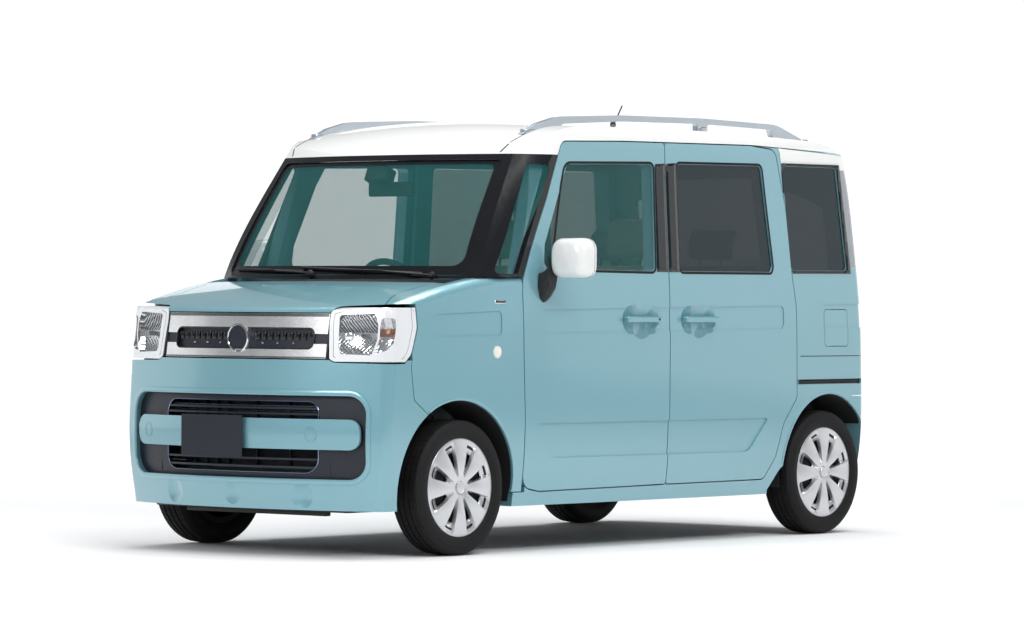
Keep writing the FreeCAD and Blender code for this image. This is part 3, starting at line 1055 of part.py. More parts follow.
parts["floor_pan"] = fuse(pan_pieces).cut(strut_holes)

for name, shape in parts.items():
    shape.exportStep("parts/" + name + ".step")
    print(name, len(shape.Solids), round(shape.Volume / 1e6, 2), shape.isValid(),
          [round(v) for v in (shape.BoundBox.XMin, shape.BoundBox.XMax, shape.BoundBox.YMin,
                              shape.BoundBox.YMax, shape.BoundBox.ZMin, shape.BoundBox.ZMax)])
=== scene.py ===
"""Dressing of the kei car: camera, studio, finishes and the fine pieces of every sub-assembly."""
from __future__ import annotations

import logging
import math
from dataclasses import dataclass, field
from enum import Enum
from typing import Callable, Iterable, Sequence

import bmesh
import bpy
from mathutils import Matrix, Vector
from mathutils.bvhtree import BVHTree


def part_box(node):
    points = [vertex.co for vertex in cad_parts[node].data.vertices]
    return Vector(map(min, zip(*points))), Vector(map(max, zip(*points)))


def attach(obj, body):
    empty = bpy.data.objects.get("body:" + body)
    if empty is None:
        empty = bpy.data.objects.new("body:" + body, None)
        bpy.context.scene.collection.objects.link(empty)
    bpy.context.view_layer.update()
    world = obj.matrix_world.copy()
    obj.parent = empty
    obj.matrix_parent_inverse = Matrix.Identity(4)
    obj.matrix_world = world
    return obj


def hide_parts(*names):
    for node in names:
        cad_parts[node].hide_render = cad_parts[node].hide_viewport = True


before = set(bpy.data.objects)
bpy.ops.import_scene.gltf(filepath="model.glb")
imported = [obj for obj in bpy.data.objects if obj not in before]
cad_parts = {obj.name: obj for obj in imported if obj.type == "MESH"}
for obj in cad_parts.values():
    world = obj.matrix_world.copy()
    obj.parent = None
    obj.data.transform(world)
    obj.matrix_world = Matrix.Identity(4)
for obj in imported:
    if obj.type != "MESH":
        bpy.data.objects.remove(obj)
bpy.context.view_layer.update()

log = logging.getLogger("kei_car")
Colour = tuple[float, float, float]
Point = tuple[float, float, float]
Flat = tuple[float, float]
Line = Sequence[Flat]
Corner = tuple[float, float, float]  # two coordinates and the radius that rounds the corner
Corners = Sequence[Corner]
Hit = tuple[Vector, Vector]  # a point on a surface and its outward normal
BMesh = bmesh.types.BMesh
Object = bpy.types.Object
Material = bpy.types.Material
Socket = bpy.types.NodeSocket


class Side(Enum):
    """The two sides of the car."""

    LEFT = 1.0
    RIGHT = -1.0

    @property
    def word(self) -> str:
        """Lower-case name used in node and body names."""
        return self.name.lower()


# -------- finishes
class Tree:
    """A material's node tree with short calls for the nodes that the finishes share."""

    def __init__(self, name: str) -> None:
        """Start a material with one Principled shader.

        Args:
            name: the material's name.
        """
        self.material = bpy.data.materials.new(name)
        self.material.use_nodes = True
        self.nodes = self.material.node_tree.nodes
        self.links = self.material.node_tree.links
        self.shader = self.nodes["Principled BSDF"]
        self.where = self.nodes.new("ShaderNodeTexCoord").outputs["Object"]

    def set(self, **values: float | tuple) -> None:
        """Set constants on the shader's own sockets, underscores standing for spaces."""
        for key, value in values.items():
            self.shader.inputs[key.replace("_", " ")].default_value = value

    def stretched(self, scale: Point) -> Socket:
        """Object coordinates scaled per axis.

        Args:
            scale: factor along x, y and z.

        Returns:
            The scaled coordinates.
        """
        node = self.nodes.new("ShaderNodeMapping")
        node.inputs["Scale"].default_value = scale
        self.links.new(self.where, node.inputs["Vector"])
        return node.outputs["Vector"]

    def texture(self, kind: str, vector: Socket | None, **values: float) -> bpy.types.Node:
        """Texture node.

        Args:
            kind: last part of the node's type.
            vector: coordinates, the object's when left out.
            values: its numbers by the names of their sockets.

        Returns:
            The node.
        """
        node = self.nodes.new("ShaderNodeTex" + kind)
        for key, value in values.items():
            node.inputs[key].default_value = value
        self.links.new(vector or self.where, node.inputs["Vector"])
        return node

    def noise(self, scale: float, detail: float = 3.0, vector: Socket | None = None) -> Socket:
        """Noise value at a scale per metre.

        Args:
            scale: features per metre.
            detail: octaves.
            vector: coordinates, the object's when left out.

        Returns:
            The noise factor socket.
        """
        return self.texture("Noise", vector, Scale=scale, Detail=detail).outputs["Fac"]

    def cells(self, scale: float, vector: Socket | None = None) -> Socket:
        """Distance inside Voronoi cells, for moulded grain."""
        return self.texture("Voronoi", vector, Scale=scale).outputs["Distance"]

    def bands(self, scale: float, direction: str, vector: Socket | None = None) -> Socket:
        """Sine bands across one axis, given by its letter."""
        node = self.texture("Wave", vector, Scale=scale)
        node.bands_direction = direction
        return node.outputs["Fac"]

    def axes(self) -> bpy.types.NodeOutputs:
        """The point's three coordinates in metres, by their letters."""
        node = self.nodes.new("ShaderNodeSeparateXYZ")
        self.links.new(self.where, node.inputs[0])
        return node.outputs

    def maths(self, operation: str, a: Socket | float, b: Socket | float = 0.5) -> Socket:
        """One Math node on sockets or numbers.

        Args:
            operation: the node's operation name.
            a: first socket or number.
            b: second socket or number.

        Returns:
            The result socket.
        """
        node = self.nodes.new("ShaderNodeMath")
        node.operation = operation
        for i, value in enumerate((a, b)):
            if isinstance(value, (int, float)):
                node.inputs[i].default_value = value
            else:
                self.links.new(value, node.inputs[i])
        return node.outputs[0]

    def ramp(self, factor: Socket, stops: Sequence[tuple[float, Colour]]) -> Socket:
        """Colour ramp over a factor.

        Args:
            factor: socket from 0 to 1.
            stops: position and colour of each stop.

        Returns:
            The colour socket.
        """
        node = self.nodes.new("ShaderNodeValToRGB")
        elements = node.color_ramp.elements
        while len(elements) < len(stops):
            elements.new(0.5)
        for element, (position, colour) in zip(elements, stops):
            element.position = position
            element.color = (*colour, 1.0)
        self.links.new(factor, node.inputs["Fac"])
        return node.outputs["Color"]

    def blend(self, factor: Socket, a: Socket | Colour, b: Socket | Colour) -> Socket:
        """Mix two colours by a factor.

        Args:
            factor: socket from 0 to 1.
            a: colour at 0.
            b: colour at 1.

        Returns:
            The colour socket.
        """
        node = self.nodes.new("ShaderNodeMix")
        node.data_type = "RGBA"
        self.links.new(factor, node.inputs["Factor"])
        for socket, value in ((node.inputs[6], a), (node.inputs[7], b)):
            if isinstance(value, tuple):
                socket.default_value = (*value, 1.0)
            else:
                self.links.new(value, socket)
        return node.outputs[2]

    def colour(self, socket: Socket) -> None:
        """Drive the base colour."""
        self.links.new(socket, self.shader.inputs["Base Color"])

    def tinted(self, factor: Socket, colour: Colour, low: Flat, high: Flat) -> None:
        """Drive the base colour between two shades, each given as its stop and its brightness."""
        self.colour(self.ramp(factor, [(stop, shade(colour, bright)) for stop, bright in (low, high)]))

    def roughness(self, factor: Socket, low: float, high: float) -> None:
        """Drive roughness from a factor between two values.

        Args:
            factor: socket from 0 to 1.
            low: value at 0.
            high: value at 1.
        """
        node = self.nodes.new("ShaderNodeMapRange")
        node.inputs["To Min"].default_value = low
        node.inputs["To Max"].default_value = high
        self.links.new(factor, node.inputs["Value"])
        self.links.new(node.outputs["Result"], self.shader.inputs["Roughness"])

    def bump(self, factor: Socket, strength: float, distance: float) -> None:
        """Add relief from a factor; later calls are stacked on earlier ones.

        Args:
            factor: socket from 0 to 1.
            strength: share of the relief that shows.
            distance: height of the relief in metres.
        """
        node = self.nodes.new("ShaderNodeBump")
        node.inputs["Strength"].default_value = strength
        node.inputs["Distance"].default_value = distance
        self.links.new(factor, node.inputs["Height"])
        normal = self.shader.inputs["Normal"]
        if normal.is_linked:
            self.links.new(normal.links[0].from_socket, node.inputs["Normal"])
        self.links.new(node.outputs["Normal"], normal)


def shade(colour: Colour, factor: float) -> Colour:
    """A colour made darker or lighter."""
    return tuple(min(1.0, c * factor) for c in colour)


@dataclass(frozen=True)
class Paint:
    """Clear-coated body paint with fine flake, orange peel and road dust low down."""

    name: str
    colour: Colour
    metallic: float = 0.25
    dust: Colour = (0.42, 0.40, 0.37)

    def make(self) -> Material:
        """Build the material."""
        tree = Tree(self.name)
        tree.set(Metallic=self.metallic, Coat_Weight=1.0, Coat_Roughness=0.03, Coat_IOR=1.5)
        flake = tree.ramp(tree.noise(2600.0, 1.0), [(0.3, shade(self.colour, 0.93)), (0.7, shade(self.colour, 1.06))])
        low = tree.maths("MULTIPLY", tree.axes()["Z"], -3.2)
        low = tree.maths("ADD", low, 1.15)
        speckle = tree.maths("MULTIPLY", low, tree.noise(38.0, 6.0))
        cover = tree.ramp(speckle, [(0.32, (0.0, 0.0, 0.0)), (0.75, (0.22, 0.22, 0.22))])
        tree.colour(tree.blend(cover, flake, self.dust))
        tree.roughness(tree.noise(14.0, 4.0), 0.26, 0.36)
        tree.bump(tree.noise(210.0, 1.0), 0.035, 0.0006)
        return tree.material


@dataclass(frozen=True)
class Plastic:
    """Moulded plastic: cell grain, slight colour drift and rubbed spots."""

    name: str
    colour: Colour
    low: float = 0.45
    high: float = 0.62
    grain: float = 900.0
    relief: float = 0.25
    coat: float = 0.0

    def make(self) -> Material:
        """Build the material."""
        tree = Tree(self.name)
        tree.set(Coat_Weight=self.coat, Coat_Roughness=0.05)
        drift = tree.noise(9.0, 5.0)
        tree.tinted(drift, self.colour, (0.25, 0.86), (0.75, 1.2))
        tree.roughness(tree.noise(60.0, 5.0), self.low, self.high)
        tree.bump(tree.cells(self.grain), self.relief, 0.0002)
        return tree.material


@dataclass(frozen=True)
class Metal:
    """Bare, plated or cast metal."""

    name: str
    colour: Colour
    low: float = 0.08
    high: float = 0.16
    grain: float = 300.0
    relief: float = 0.05
    brushed: Point = (1.0, 1.0, 1.0)
    metallic: float = 1.0

    def make(self) -> Material:
        """Build the material."""
        tree = Tree(self.name)
        tree.set(Metallic=self.metallic)
        drift = tree.noise(11.0, 6.0)
        tree.tinted(drift, self.colour, (0.3, 0.88), (0.7, 1.06))
        lay = tree.noise(self.grain, 4.0, tree.stretched(self.brushed))
        tree.roughness(lay, self.low, self.high)
        tree.bump(lay, self.relief, 0.0003)
        return tree.material


@dataclass(frozen=True)
class Glass:
    """Tinted pane with a little uneven wash film."""

    name: str
    tint: Colour
    low: float = 0.0
    high: float = 0.008
    flutes: float = 0.0
    ior: float = 1.45
    cover: float = 1.0

    def make(self) -> Material:
        """Build the material."""
        tree = Tree(self.name)
        tree.set(Transmission_Weight=1.0 if self.cover == 1.0 else 0.0, IOR=self.ior, Alpha=self.cover)
        film = tree.noise(4.0, 4.0)
        tree.tinted(film, self.tint, (0.3, 0.97), (0.7, 1.03))
        tree.roughness(film, self.low, self.high)
        if self.flutes:
            tree.bump(tree.bands(self.flutes, "Y"), 0.35, 0.001)
        else:
            tree.bump(tree.noise(1.5, 0.0), 0.01, 0.0004)
        return tree.material


@dataclass(frozen=True)
class Rubber:
    """Tyre rubber with a dusty bloom and fine mould lines."""

    name: str
    colour: Colour = (0.0035, 0.0035, 0.0045)
    bloom: Colour = (0.009, 0.009, 0.0095)

    def make(self) -> Material:
        """Build the material."""
        tree = Tree(self.name)
        tree.set(Specular_IOR_Level=0.35)
        patch = tree.noise(22.0, 8.0)
        tree.colour(tree.ramp(patch, [(0.42, self.colour), (0.8, self.bloom)]))
        tree.roughness(patch, 0.62, 0.88)
        tree.bump(tree.noise(700.0, 2.0), 0.2, 0.0004)
        return tree.material


@dataclass(frozen=True)
class Fabric:
    """Woven seat cloth: crossed threads, melange colour and sheen."""

    name: str
    colour: Colour
    thread: float = 900.0

    def make(self) -> Material:
        """Build the material."""
        tree = Tree(self.name)
        tree.set(Sheen_Weight=0.35, Sheen_Roughness=0.5, Specular_IOR_Level=0.2)
        across = tree.bands(self.thread, "Y")
        along = tree.bands(self.thread, "X")
        rise = tree.bands(self.thread, "Z")
        weave = tree.maths("MULTIPLY", tree.maths("ADD", across, 0.35), tree.maths("ADD", along, rise))
        melange = tree.maths("MULTIPLY", tree.noise(400.0, 3.0), tree.maths("ADD", weave, 0.4))
        tree.tinted(melange, self.colour, (0.2, 0.62), (0.8, 1.35))
        tree.roughness(tree.noise(80.0, 3.0), 0.8, 0.95)
        tree.bump(weave, 0.4, 0.0005)
        return tree.material


@dataclass(frozen=True)
class ClearCover:
    """Thin clear moulding that lets most light straight through."""

    name: str
    tint: Colour
    cover: float = 0.16
    ribs: float = 0.0

    def make(self) -> Material:
        """Build the material."""
        tree = Tree(self.name)
        tree.set(Alpha=self.cover, Coat_Weight=1.0, Coat_Roughness=0.02)
        film = tree.noise(6.0, 3.0)
        tree.tinted(film, self.tint, (0.3, 0.92), (0.7, 1.05))
        tree.roughness(film, 0.02, 0.06)
        if self.ribs:
            tree.bump(tree.bands(self.ribs, "Z"), 0.4, 0.001)
        return tree.material


@dataclass(frozen=True)
class LampMirror:
    """Vacuum-metallised reflector with painted reflections: the dark and bright streaks of its flutes and facets are
    painted into its colour.
    """

    name: str
    middle: float
    bright: Colour = (0.80, 0.83, 0.86)
    dark: Colour = (0.018, 0.022, 0.034)
    warm: Colour | None = None

    def plane(self, tree: Tree) -> tuple[Socket, Socket]:
        """Coordinate along the lamp, the same on both sides of the car, and height over its middle.

        Args:
            tree: the material being built.

        Returns:
            The two sockets.
        """
        at = tree.axes()
        along = tree.maths("ADD", tree.maths("MULTIPLY", at["X"], -0.64),
                           tree.maths("MULTIPLY", tree.maths("ABSOLUTE", at["Y"], 0.0), 0.768))
        return along, tree.maths("ADD", at["Z"], -self.middle)

    def saw(self, tree: Tree, along: Socket, rise: Socket, per_metre: float, slope: float) -> Socket:
        """Crisp stripes across the lamp's plane."""
        lean = tree.maths("ADD", tree.maths("MULTIPLY", along, per_metre), tree.maths("MULTIPLY", rise, slope))
        wobble = tree.maths("MULTIPLY", tree.noise(24.0, 2.0), 1.6)
        return tree.maths("FRACT", tree.maths("ADD", lean, wobble), 0.0)

    def make(self) -> Material:
        """Build the material."""
        tree = Tree(self.name)
        tree.set(Metallic=0.85)
        along, rise = self.plane(tree)
        # painted reflections: dark and bright streaks of the upper flutes
        streaks = tree.ramp(self.saw(tree, along, rise, 78.0, 58.0), [
            (0.0, self.bright), (0.22, self.dark), (0.30, shade(self.bright, 0.5)), (0.36, self.dark),
            (0.86, self.dark), (0.93, self.bright)])
        # painted reflections: dark and bright patches of the lower facets
        facets = tree.maths("MULTIPLY", self.saw(tree, along, rise, 62.0, -75.0),
                            self.saw(tree, along, rise, 55.0, 62.0))
        lower = tree.ramp(facets, [(0.12, self.bright), (0.20, shade(self.bright, 0.45)), (0.34, self.dark),
                                   (0.62, shade(self.bright, 0.3)), (0.8, self.dark)])
        above = tree.maths("GREATER_THAN", rise, 0.012)
        below = tree.maths("LESS_THAN", rise, -0.016)
        # painted reflection: pale band across the middle
        band = tree.ramp(tree.noise(30.0, 2.0), [(0.3, shade(self.bright, 0.55)), (0.7, self.bright)])
        colour = tree.blend(below, tree.blend(above, band, streaks), lower)
        # painted reflections on the signal reflector: a pale grid, with warm dots of the amber bulb's light round the
        # middle
        if self.warm:
            grid = tree.maths("MULTIPLY", tree.maths("FRACT", tree.maths("MULTIPLY", along, 210.0), 0.0),
                              tree.maths("FRACT", tree.maths("MULTIPLY", rise, 210.0), 0.0))
            dots = tree.ramp(grid, [(0.14, self.dark), (0.22, self.warm)])
            pale = tree.ramp(grid, [(0.10, shade(self.bright, 0.35)), (0.2, self.bright)])
            near = tree.maths("MULTIPLY", tree.maths("GREATER_THAN", rise, -0.004),
                              tree.maths("LESS_THAN", rise, 0.026))
            colour = tree.blend(near, pale, dots)
        tree.colour(colour)
        tree.roughness(tree.noise(40.0, 2.0), 0.05, 0.14)
        return tree.material


@dataclass(frozen=True)
class Fins:
    """Radiator core: fine fins between flat tubes, paler high up where light reaches it."""

    name: str
    dark: Colour = (0.010, 0.014, 0.024)
    pale: Colour = (0.12, 0.17, 0.26)

    def make(self) -> Material:
        """Build the material."""
        tree = Tree(self.name)
        tree.set(Metallic=0.3)
        tubes = tree.bands(70.0, "Z")
        fins = tree.bands(260.0, "Y")
        lit = tree.maths("MULTIPLY", tree.maths("ADD", tree.axes()["Z"], -0.50), 7.0)
        mix = tree.maths("MULTIPLY", tree.maths("MULTIPLY", tubes, tree.maths("ADD", fins, 0.4)), lit)
        tree.colour(tree.ramp(mix, [(0.05, self.dark), (0.7, self.pale)]))
        tree.roughness(fins, 0.4, 0.6)
        tree.bump(tubes, 0.5, 0.002)
        return tree.material


BUILT: dict["Finish", Material] = {}


class Finish(Enum):
    """Every finish on the car."""

    BODY = Paint("aqua_paint", (0.190, 0.400, 0.465))
    WHITE = Paint("white_paint", (0.80, 0.81, 0.80), metallic=0.0)
    SILVER = Paint("silver_paint", (0.50, 0.56, 0.61), metallic=0.8)
    SHELL = Paint("primer_shell", (0.050, 0.085, 0.095), metallic=0.0)
    BLACK = Plastic("grained_black", (0.007, 0.007, 0.008))
    GLOSS_BLACK = Plastic("gloss_black", (0.004, 0.005, 0.007), low=0.16, high=0.26, relief=0.02, coat=0.15)
    NAVY = Plastic("navy_plastic", (0.0045, 0.0085, 0.018), low=0.3, high=0.5, grain=600.0)
    CABIN = Plastic("cabin_plastic", (0.035, 0.034, 0.034), low=0.55, high=0.75, grain=700.0, relief=0.4)
    CABIN_PALE = Plastic("cabin_pale", (0.34, 0.31, 0.27), low=0.6, high=0.8, grain=700.0, relief=0.4)
    LINER = Plastic("arch_liner", (0.006, 0.006, 0.0065), low=0.7, high=0.9, grain=250.0, relief=0.5)
    COVER = Paint("cover_silver", (0.60, 0.61, 0.63), metallic=0.55)
    COVER_DARK = Plastic("cover_shadow", (0.06, 0.062, 0.07), low=0.3, high=0.5)
    CHROME = Metal("bright_chrome", (0.86, 0.87, 0.89), low=0.05, high=0.12, relief=0.01)
    REFLECTOR = Metal("lamp_reflector", (0.90, 0.91, 0.92), low=0.03, high=0.1, relief=0.02)
    BEZEL = Paint("lamp_bezel", (0.83, 0.85, 0.87), metallic=0.2)
    IRON = Metal("chassis_iron", (0.05, 0.05, 0.052), low=0.5, high=0.8, relief=0.3, metallic=0.6)
    ALLOY = Metal("cast_alloy", (0.42, 0.43, 0.44), low=0.4, high=0.65, grain=180.0, relief=0.3)
    PIPE = Metal("pipe_steel", (0.34, 0.32, 0.30), low=0.3, high=0.55, relief=0.15)
    # lamp reflectors with painted reflections: dark and bright streaks, and amber dots on the signal one
    FLUTES = LampMirror("lamp_flutes", 0.872)
    SIGNAL = LampMirror("lamp_signal", 0.872, warm=(0.80, 0.22, 0.03))
    CLEAR_LENS = ClearCover("clear_lens", (0.86, 0.90, 0.93), cover=0.10)
    AMBER_BULB = Plastic("amber_bulb", (0.75, 0.30, 0.06), low=0.1, high=0.2, relief=0.02)
    BAND_DARK = Metal("band_shadow", (0.20, 0.21, 0.22), low=0.2, high=0.35, relief=0.02)
    BAND = Metal("band_satin", (0.86, 0.87, 0.88), low=0.22, high=0.34, relief=0.02, brushed=(1.0, 0.02, 4.0))
    SLAT = Metal("slat_satin", (0.30, 0.33, 0.38), low=0.2, high=0.35, relief=0.02)
    FRAME_BLUE = Metal("frame_line", (0.22, 0.27, 0.38), low=0.15, high=0.25, relief=0.02)
    RADIATOR = Fins("radiator_fins")
    MIRROR = Metal("mirror_silver", (0.82, 0.84, 0.86), low=0.01, high=0.03, relief=0.0)
    REPEATER = ClearCover("repeater_lens", (0.92, 0.90, 0.86), cover=0.85)
    AMBER_LENS = ClearCover("amber_cover", (0.85, 0.30, 0.03), cover=0.92, ribs=120.0)
    CLEAR_RIB = ClearCover("clear_ribs", (0.80, 0.82, 0.84), cover=0.85, ribs=120.0)
    TAIL = ClearCover("tail_ribs", (0.30, 0.33, 0.36), cover=0.93, ribs=90.0)
    RUBBER = Rubber("tyre_rubber")
    SEAL = Rubber("seal_rubber", (0.006, 0.006, 0.007), (0.012, 0.012, 0.012))
    CLOTH = Fabric("seat_cloth", (0.30, 0.26, 0.22))
    CLEAR = Glass("clear_glass", (0.030, 0.160, 0.155), cover=0.24)
    PRIVACY = Glass("privacy_glass", (0.006, 0.020, 0.026), cover=0.68)
    LENS = Glass("lamp_lens", (0.97, 0.98, 0.98), high=0.01)
    RED = ClearCover("red_cover", (0.55, 0.012, 0.015), cover=0.95, ribs=120.0)

    def material(self) -> Material:
        """The finish's material, built once."""
        if self not in BUILT:
            BUILT[self] = self.value.make()
        return BUILT[self]


NODE_FINISH: dict[Finish, Sequence[str]] = {
    Finish.BODY: ("hood", "fenders", "body_side_left", "body_side_right", "fuel_lid", "door_left", "door_right",
                  "sliding_doors", "tailgate", "bumper_rear", "bumper_front", "bumper_bar",
                  "door_handle_left", "door_handle_right", "slide_handles"),
    Finish.WHITE: ("roof", "mirror_left", "mirror_right"),
    Finish.SILVER: ("roof_rails",),
    Finish.SHELL: ("floor_pan",),
    Finish.BLACK: ("cowl", "antenna", "fuel_tank"),
    Finish.GLOSS_BLACK: ("windscreen_frame",),
    Finish.NAVY: ("grille_lower", "plate_front"),
    Finish.BAND: ("grille_upper",),
    Finish.CLEAR: ("front_glass", "door_glass_left", "door_glass_right"),
    Finish.PRIVACY: ("rear_side_glass", "tailgate_glass"),
    Finish.LENS: ("headlamps",),
    Finish.TAIL: ("tail_lamps",),
    Finish.CABIN: ("dashboard", "steering_wheel"),
    Finish.CLOTH: ("front_seats", "rear_seat"),
    Finish.IRON: ("knuckle_left", "knuckle_right", "front_subframe", "rear_axle"),
    Finish.ALLOY: ("engine_block",),
    Finish.PIPE: ("exhaust",),
}


def dress_nodes() -> None:
    """Give every carried-over node its finish."""
    chosen = {node: finish for finish, names in NODE_FINISH.items() for node in names}
    for name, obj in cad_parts.items():
        if name.startswith("tyre_"):
            finish = Finish.RUBBER
        elif name.startswith("wheel_cover_"):
            finish = Finish.COVER
        elif name.startswith("wheel_"):
            finish = Finish.LINER
        else:
            finish = chosen[name]
        obj.data.materials.clear()
        obj.data.materials.append(finish.material())


# -------- mesh helpers
def new_object(name: str, bm: BMesh, material: Material) -> Object:
    """Turn a bmesh into a linked object.

    Args:
        name: object name.
        bm: the mesh, freed here.
        material: its material.

    Returns:
        The object.
    """
    mesh = bpy.data.meshes.new(name)
    bm.to_mesh(mesh)
    bm.free()
    mesh.materials.append(material)
    obj = bpy.data.objects.new(name, mesh)
    bpy.context.scene.collection.objects.link(obj)
    return obj


def piece(name: str, bm: BMesh, finish: Finish, body: str = "car_body", slot: str = "black_trim",
          crease: float = 35.0, normals: bool = True) -> Object:
    """Finish one piece: normals, shading, finish and body.

    Args:
        name: piece name.
        bm: its mesh.
        finish: its finish.
        body: body that it rides on.
        slot: not used.
        crease: angle in degrees past which an edge stays sharp.
        normals: whether to turn the faces outwards.

    Returns:
        The object.
    """
    if normals:
        bmesh.ops.recalc_face_normals(bm, faces=bm.faces)
    obj = new_object(name, bm, finish.material())
    obj.data.shade_smooth()
    obj.data.set_sharp_from_angle(angle=math.radians(crease))
    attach(obj, body)
    log.info("%s: %d faces on %s", name, len(obj.data.polygons), body)
    return obj


def solidify(obj: Object, thickness: float, offset: float = -1.0) -> Object:
    """Give a sheet a wall by a modifier.

    Args:
        obj: the sheet.
        thickness: wall thickness.
        offset: side on which the wall grows, from -1 to 1.

    Returns:
        The piece.
    """
    wall = obj.modifiers.new("wall", "SOLIDIFY")
    wall.thickness = thickness
    wall.offset = offset
    return obj


def mirrored(bm: BMesh, side: Side) -> BMesh:
    """Turn a mesh made for the left side into the right side's when asked.

    Args:
        bm: mesh made for the left side.
        side: side that is wanted.

    Returns:
        The mesh.
    """
    if side is Side.RIGHT:
        bmesh.ops.scale(bm, vec=(1.0, -1.0, 1.0), verts=bm.verts)
        bmesh.ops.reverse_faces(bm, faces=bm.faces)
    return bm


def spun(outline: Line, centre: Point, axis: Point, radial: Point, steps: int = 48,
         closed: bool = False) -> BMesh:
    """Solid or shell of revolution.

    Args:
        outline: (distance along the axis, radius) points.
        centre: a point on the axis.
        axis: axis direction.
        radial: direction in which the outline is drawn.
        steps: number of steps round the axis.
        closed: whether the outline closes on itself.

    Returns:
        The mesh.
    """
    bm = bmesh.new()
    base, run, out = Vector(centre), Vector(axis), Vector(radial)
    verts = [bm.verts.new(base + run * along + out * radius) for along, radius in outline]
    pairs = list(zip(verts, verts[1:])) + ([(verts[-1], verts[0])] if closed else [])
    edges = [bm.edges.new(pair) for pair in pairs]
    bmesh.ops.spin(bm, geom=verts + edges, cent=centre, axis=axis, angle=math.tau, steps=steps, use_merge=True)
    bmesh.ops.remove_doubles(bm, verts=bm.verts, dist=1e-6)
    return bm


def lofted(stations: Sequence[Sequence[Vector]], closed: bool = False, capped: bool = False) -> BMesh:
    """Surface through equal rows of points, extruded from row to row.

    Args:
        stations: rows of points.
        closed: whether each row is a ring.
        capped: whether the end rings are filled.

    Returns:
        The mesh.
    """
    bm = bmesh.new()
    row = [bm.verts.new(p) for p in stations[0]]
    pairs = list(zip(row, row[1:])) + ([(row[-1], row[0])] if closed else [])
    edges = [bm.edges.new(pair) for pair in pairs]
    first = list(edges)
    for station in stations[1:]:
        made = bmesh.ops.extrude_edge_only(bm, edges=edges)["geom"]
        fresh = {tuple(v.co): v for v in made if isinstance(v, bmesh.types.BMVert)}
        row = [fresh[tuple(v.co)] for v in row]
        edges = [e for e in made if isinstance(e, bmesh.types.BMEdge)]
        for vert, place in zip(row, station):
            vert.co = place
    if capped:
        bmesh.ops.edgeloop_fill(bm, edges=first)
        bmesh.ops.edgeloop_fill(bm, edges=edges)
    return bm


def joined(*meshes: BMesh) -> BMesh:
    """Put several meshes into the first one.

    Args:
        meshes: the meshes; all but the first are freed.

    Returns:
        The first mesh.
    """
    target = meshes[0]
    for source in meshes[1:]:
        carrier = bpy.data.meshes.new("carrier")
        source.to_mesh(carrier)
        source.free()
        target.from_mesh(carrier)
        bpy.data.meshes.remove(carrier)
    return target


def block(low: Point, high: Point, bevel: float = 0.0, segments: int = 2) -> BMesh:
    """Box between two corners with its edges rounded.

    Args:
        low: lowest corner.
        high: highest corner.
        bevel: rounding of every edge.
        segments: rounding steps.

    Returns:
        The mesh.
    """
    bm = bmesh.new()
    size = Vector(high) - Vector(low)
    middle = (Vector(high) + Vector(low)) / 2
    bmesh.ops.create_cube(bm, size=1.0, matrix=Matrix.Translation(middle) @ Matrix.Diagonal((*size, 1.0)))
    if bevel:
        bmesh.ops.bevel(bm, geom=bm.edges, offset=bevel, offset_type="OFFSET", segments=segments, profile=0.5,
                        affect="EDGES", material=-1)
    return bm


def rod(points: Sequence[Point], radius: float, sides: int = 10, flat: float = 1.0) -> BMesh:
    """Round or flattened rod along a line of points.

    Args:
        points: the line.
        radius: half width.
        sides: faces round the rod.
        flat: thickness as a share of the width, across the second normal.

    Returns:
        The mesh.
    """
    line = [Vector(p) for p in points]
    rings = []
    for i, point in enumerate(line):
        along = (line[min(i + 1, len(line) - 1)] - line[max(i - 1, 0)]).normalized()
        guide = Vector((0, 0, 1)) if abs(along.z) < 0.9 else Vector((1, 0, 0))
        first = along.cross(guide).normalized()
        second = first.cross(along)
        rings.append([point + first * (radius * math.cos(math.tau * k / sides))
                      + second * (radius * flat * math.sin(math.tau * k / sides)) for k in range(sides)])
    return lofted(rings, closed=True, capped=True)


def rounded(corners: Corners, steps: int = 5) -> list[Flat]:
    """Closed outline with rounded corners.

    Args:
        corners: (a, b, corner radius) in order.
        steps: points on each rounded corner.

    Returns:
        The outline's points.
    """
    points = []
    for i, (a, b, radius) in enumerate(corners):
        here = Vector((a, b))
        before = (Vector(corners[i - 1][:2]) - here).normalized()
        after = (Vector(corners[(i + 1) % len(corners)][:2]) - here).normalized()
        half = before.angle(after) / 2.0
        if radius <= 0.0:
            points.append((a, b))
            continue
        centre = here + (before + after).normalized() * (radius / math.sin(half))
        start = here + before * (radius / math.tan(half)) - centre
        sweep = start.angle_signed(here + after * (radius / math.tan(half)) - centre)
        for k in range(steps + 1):
            turn = Matrix.Rotation(-sweep * k / steps, 2)
            points.append(tuple(centre + turn @ start))
    return points


def followed(cast: Callable, outline: Iterable[Flat], lift: float = 0.0) -> list[Hit]:
    """Points and normals of a surface along a line, without those that miss it.

    Args:
        cast: from two coordinates to a point and normal, or None.
        outline: the line's pairs of coordinates.
        lift: height over the surface.

    Returns:
        The points and normals.
    """
    hits = [cast(a, b) for a, b in outline]
    return [(hit[0] + hit[1] * lift, hit[1]) for hit in hits if hit]


def traced(cast: Callable, start: Flat, run: Flat, steps: int, lift: float) -> list[Point]:
    """Points over a surface along a straight line of its coordinates.

    Args:
        cast: from two coordinates to a point and normal.
        start: coordinates of the first point.
        run: way from the first to the last.
        steps: number of steps.
        lift: height over the surface.

    Returns:
        The points.
    """
    line = [(start[0] + run[0] * k / steps, start[1] + run[1] * k / steps) for k in range(steps + 1)]
    return [tuple(point) for point, _ in followed(cast, line, lift)]


def oblong(a0: float, a1: float, b0: float, b1: float, radius: float) -> list[Corner]:
    """Corners of a rectangle between two pairs of coordinates, all with one rounding."""
    return [(a0, b0, radius), (a0, b1, radius), (a1, b1, radius), (a1, b0, radius)]


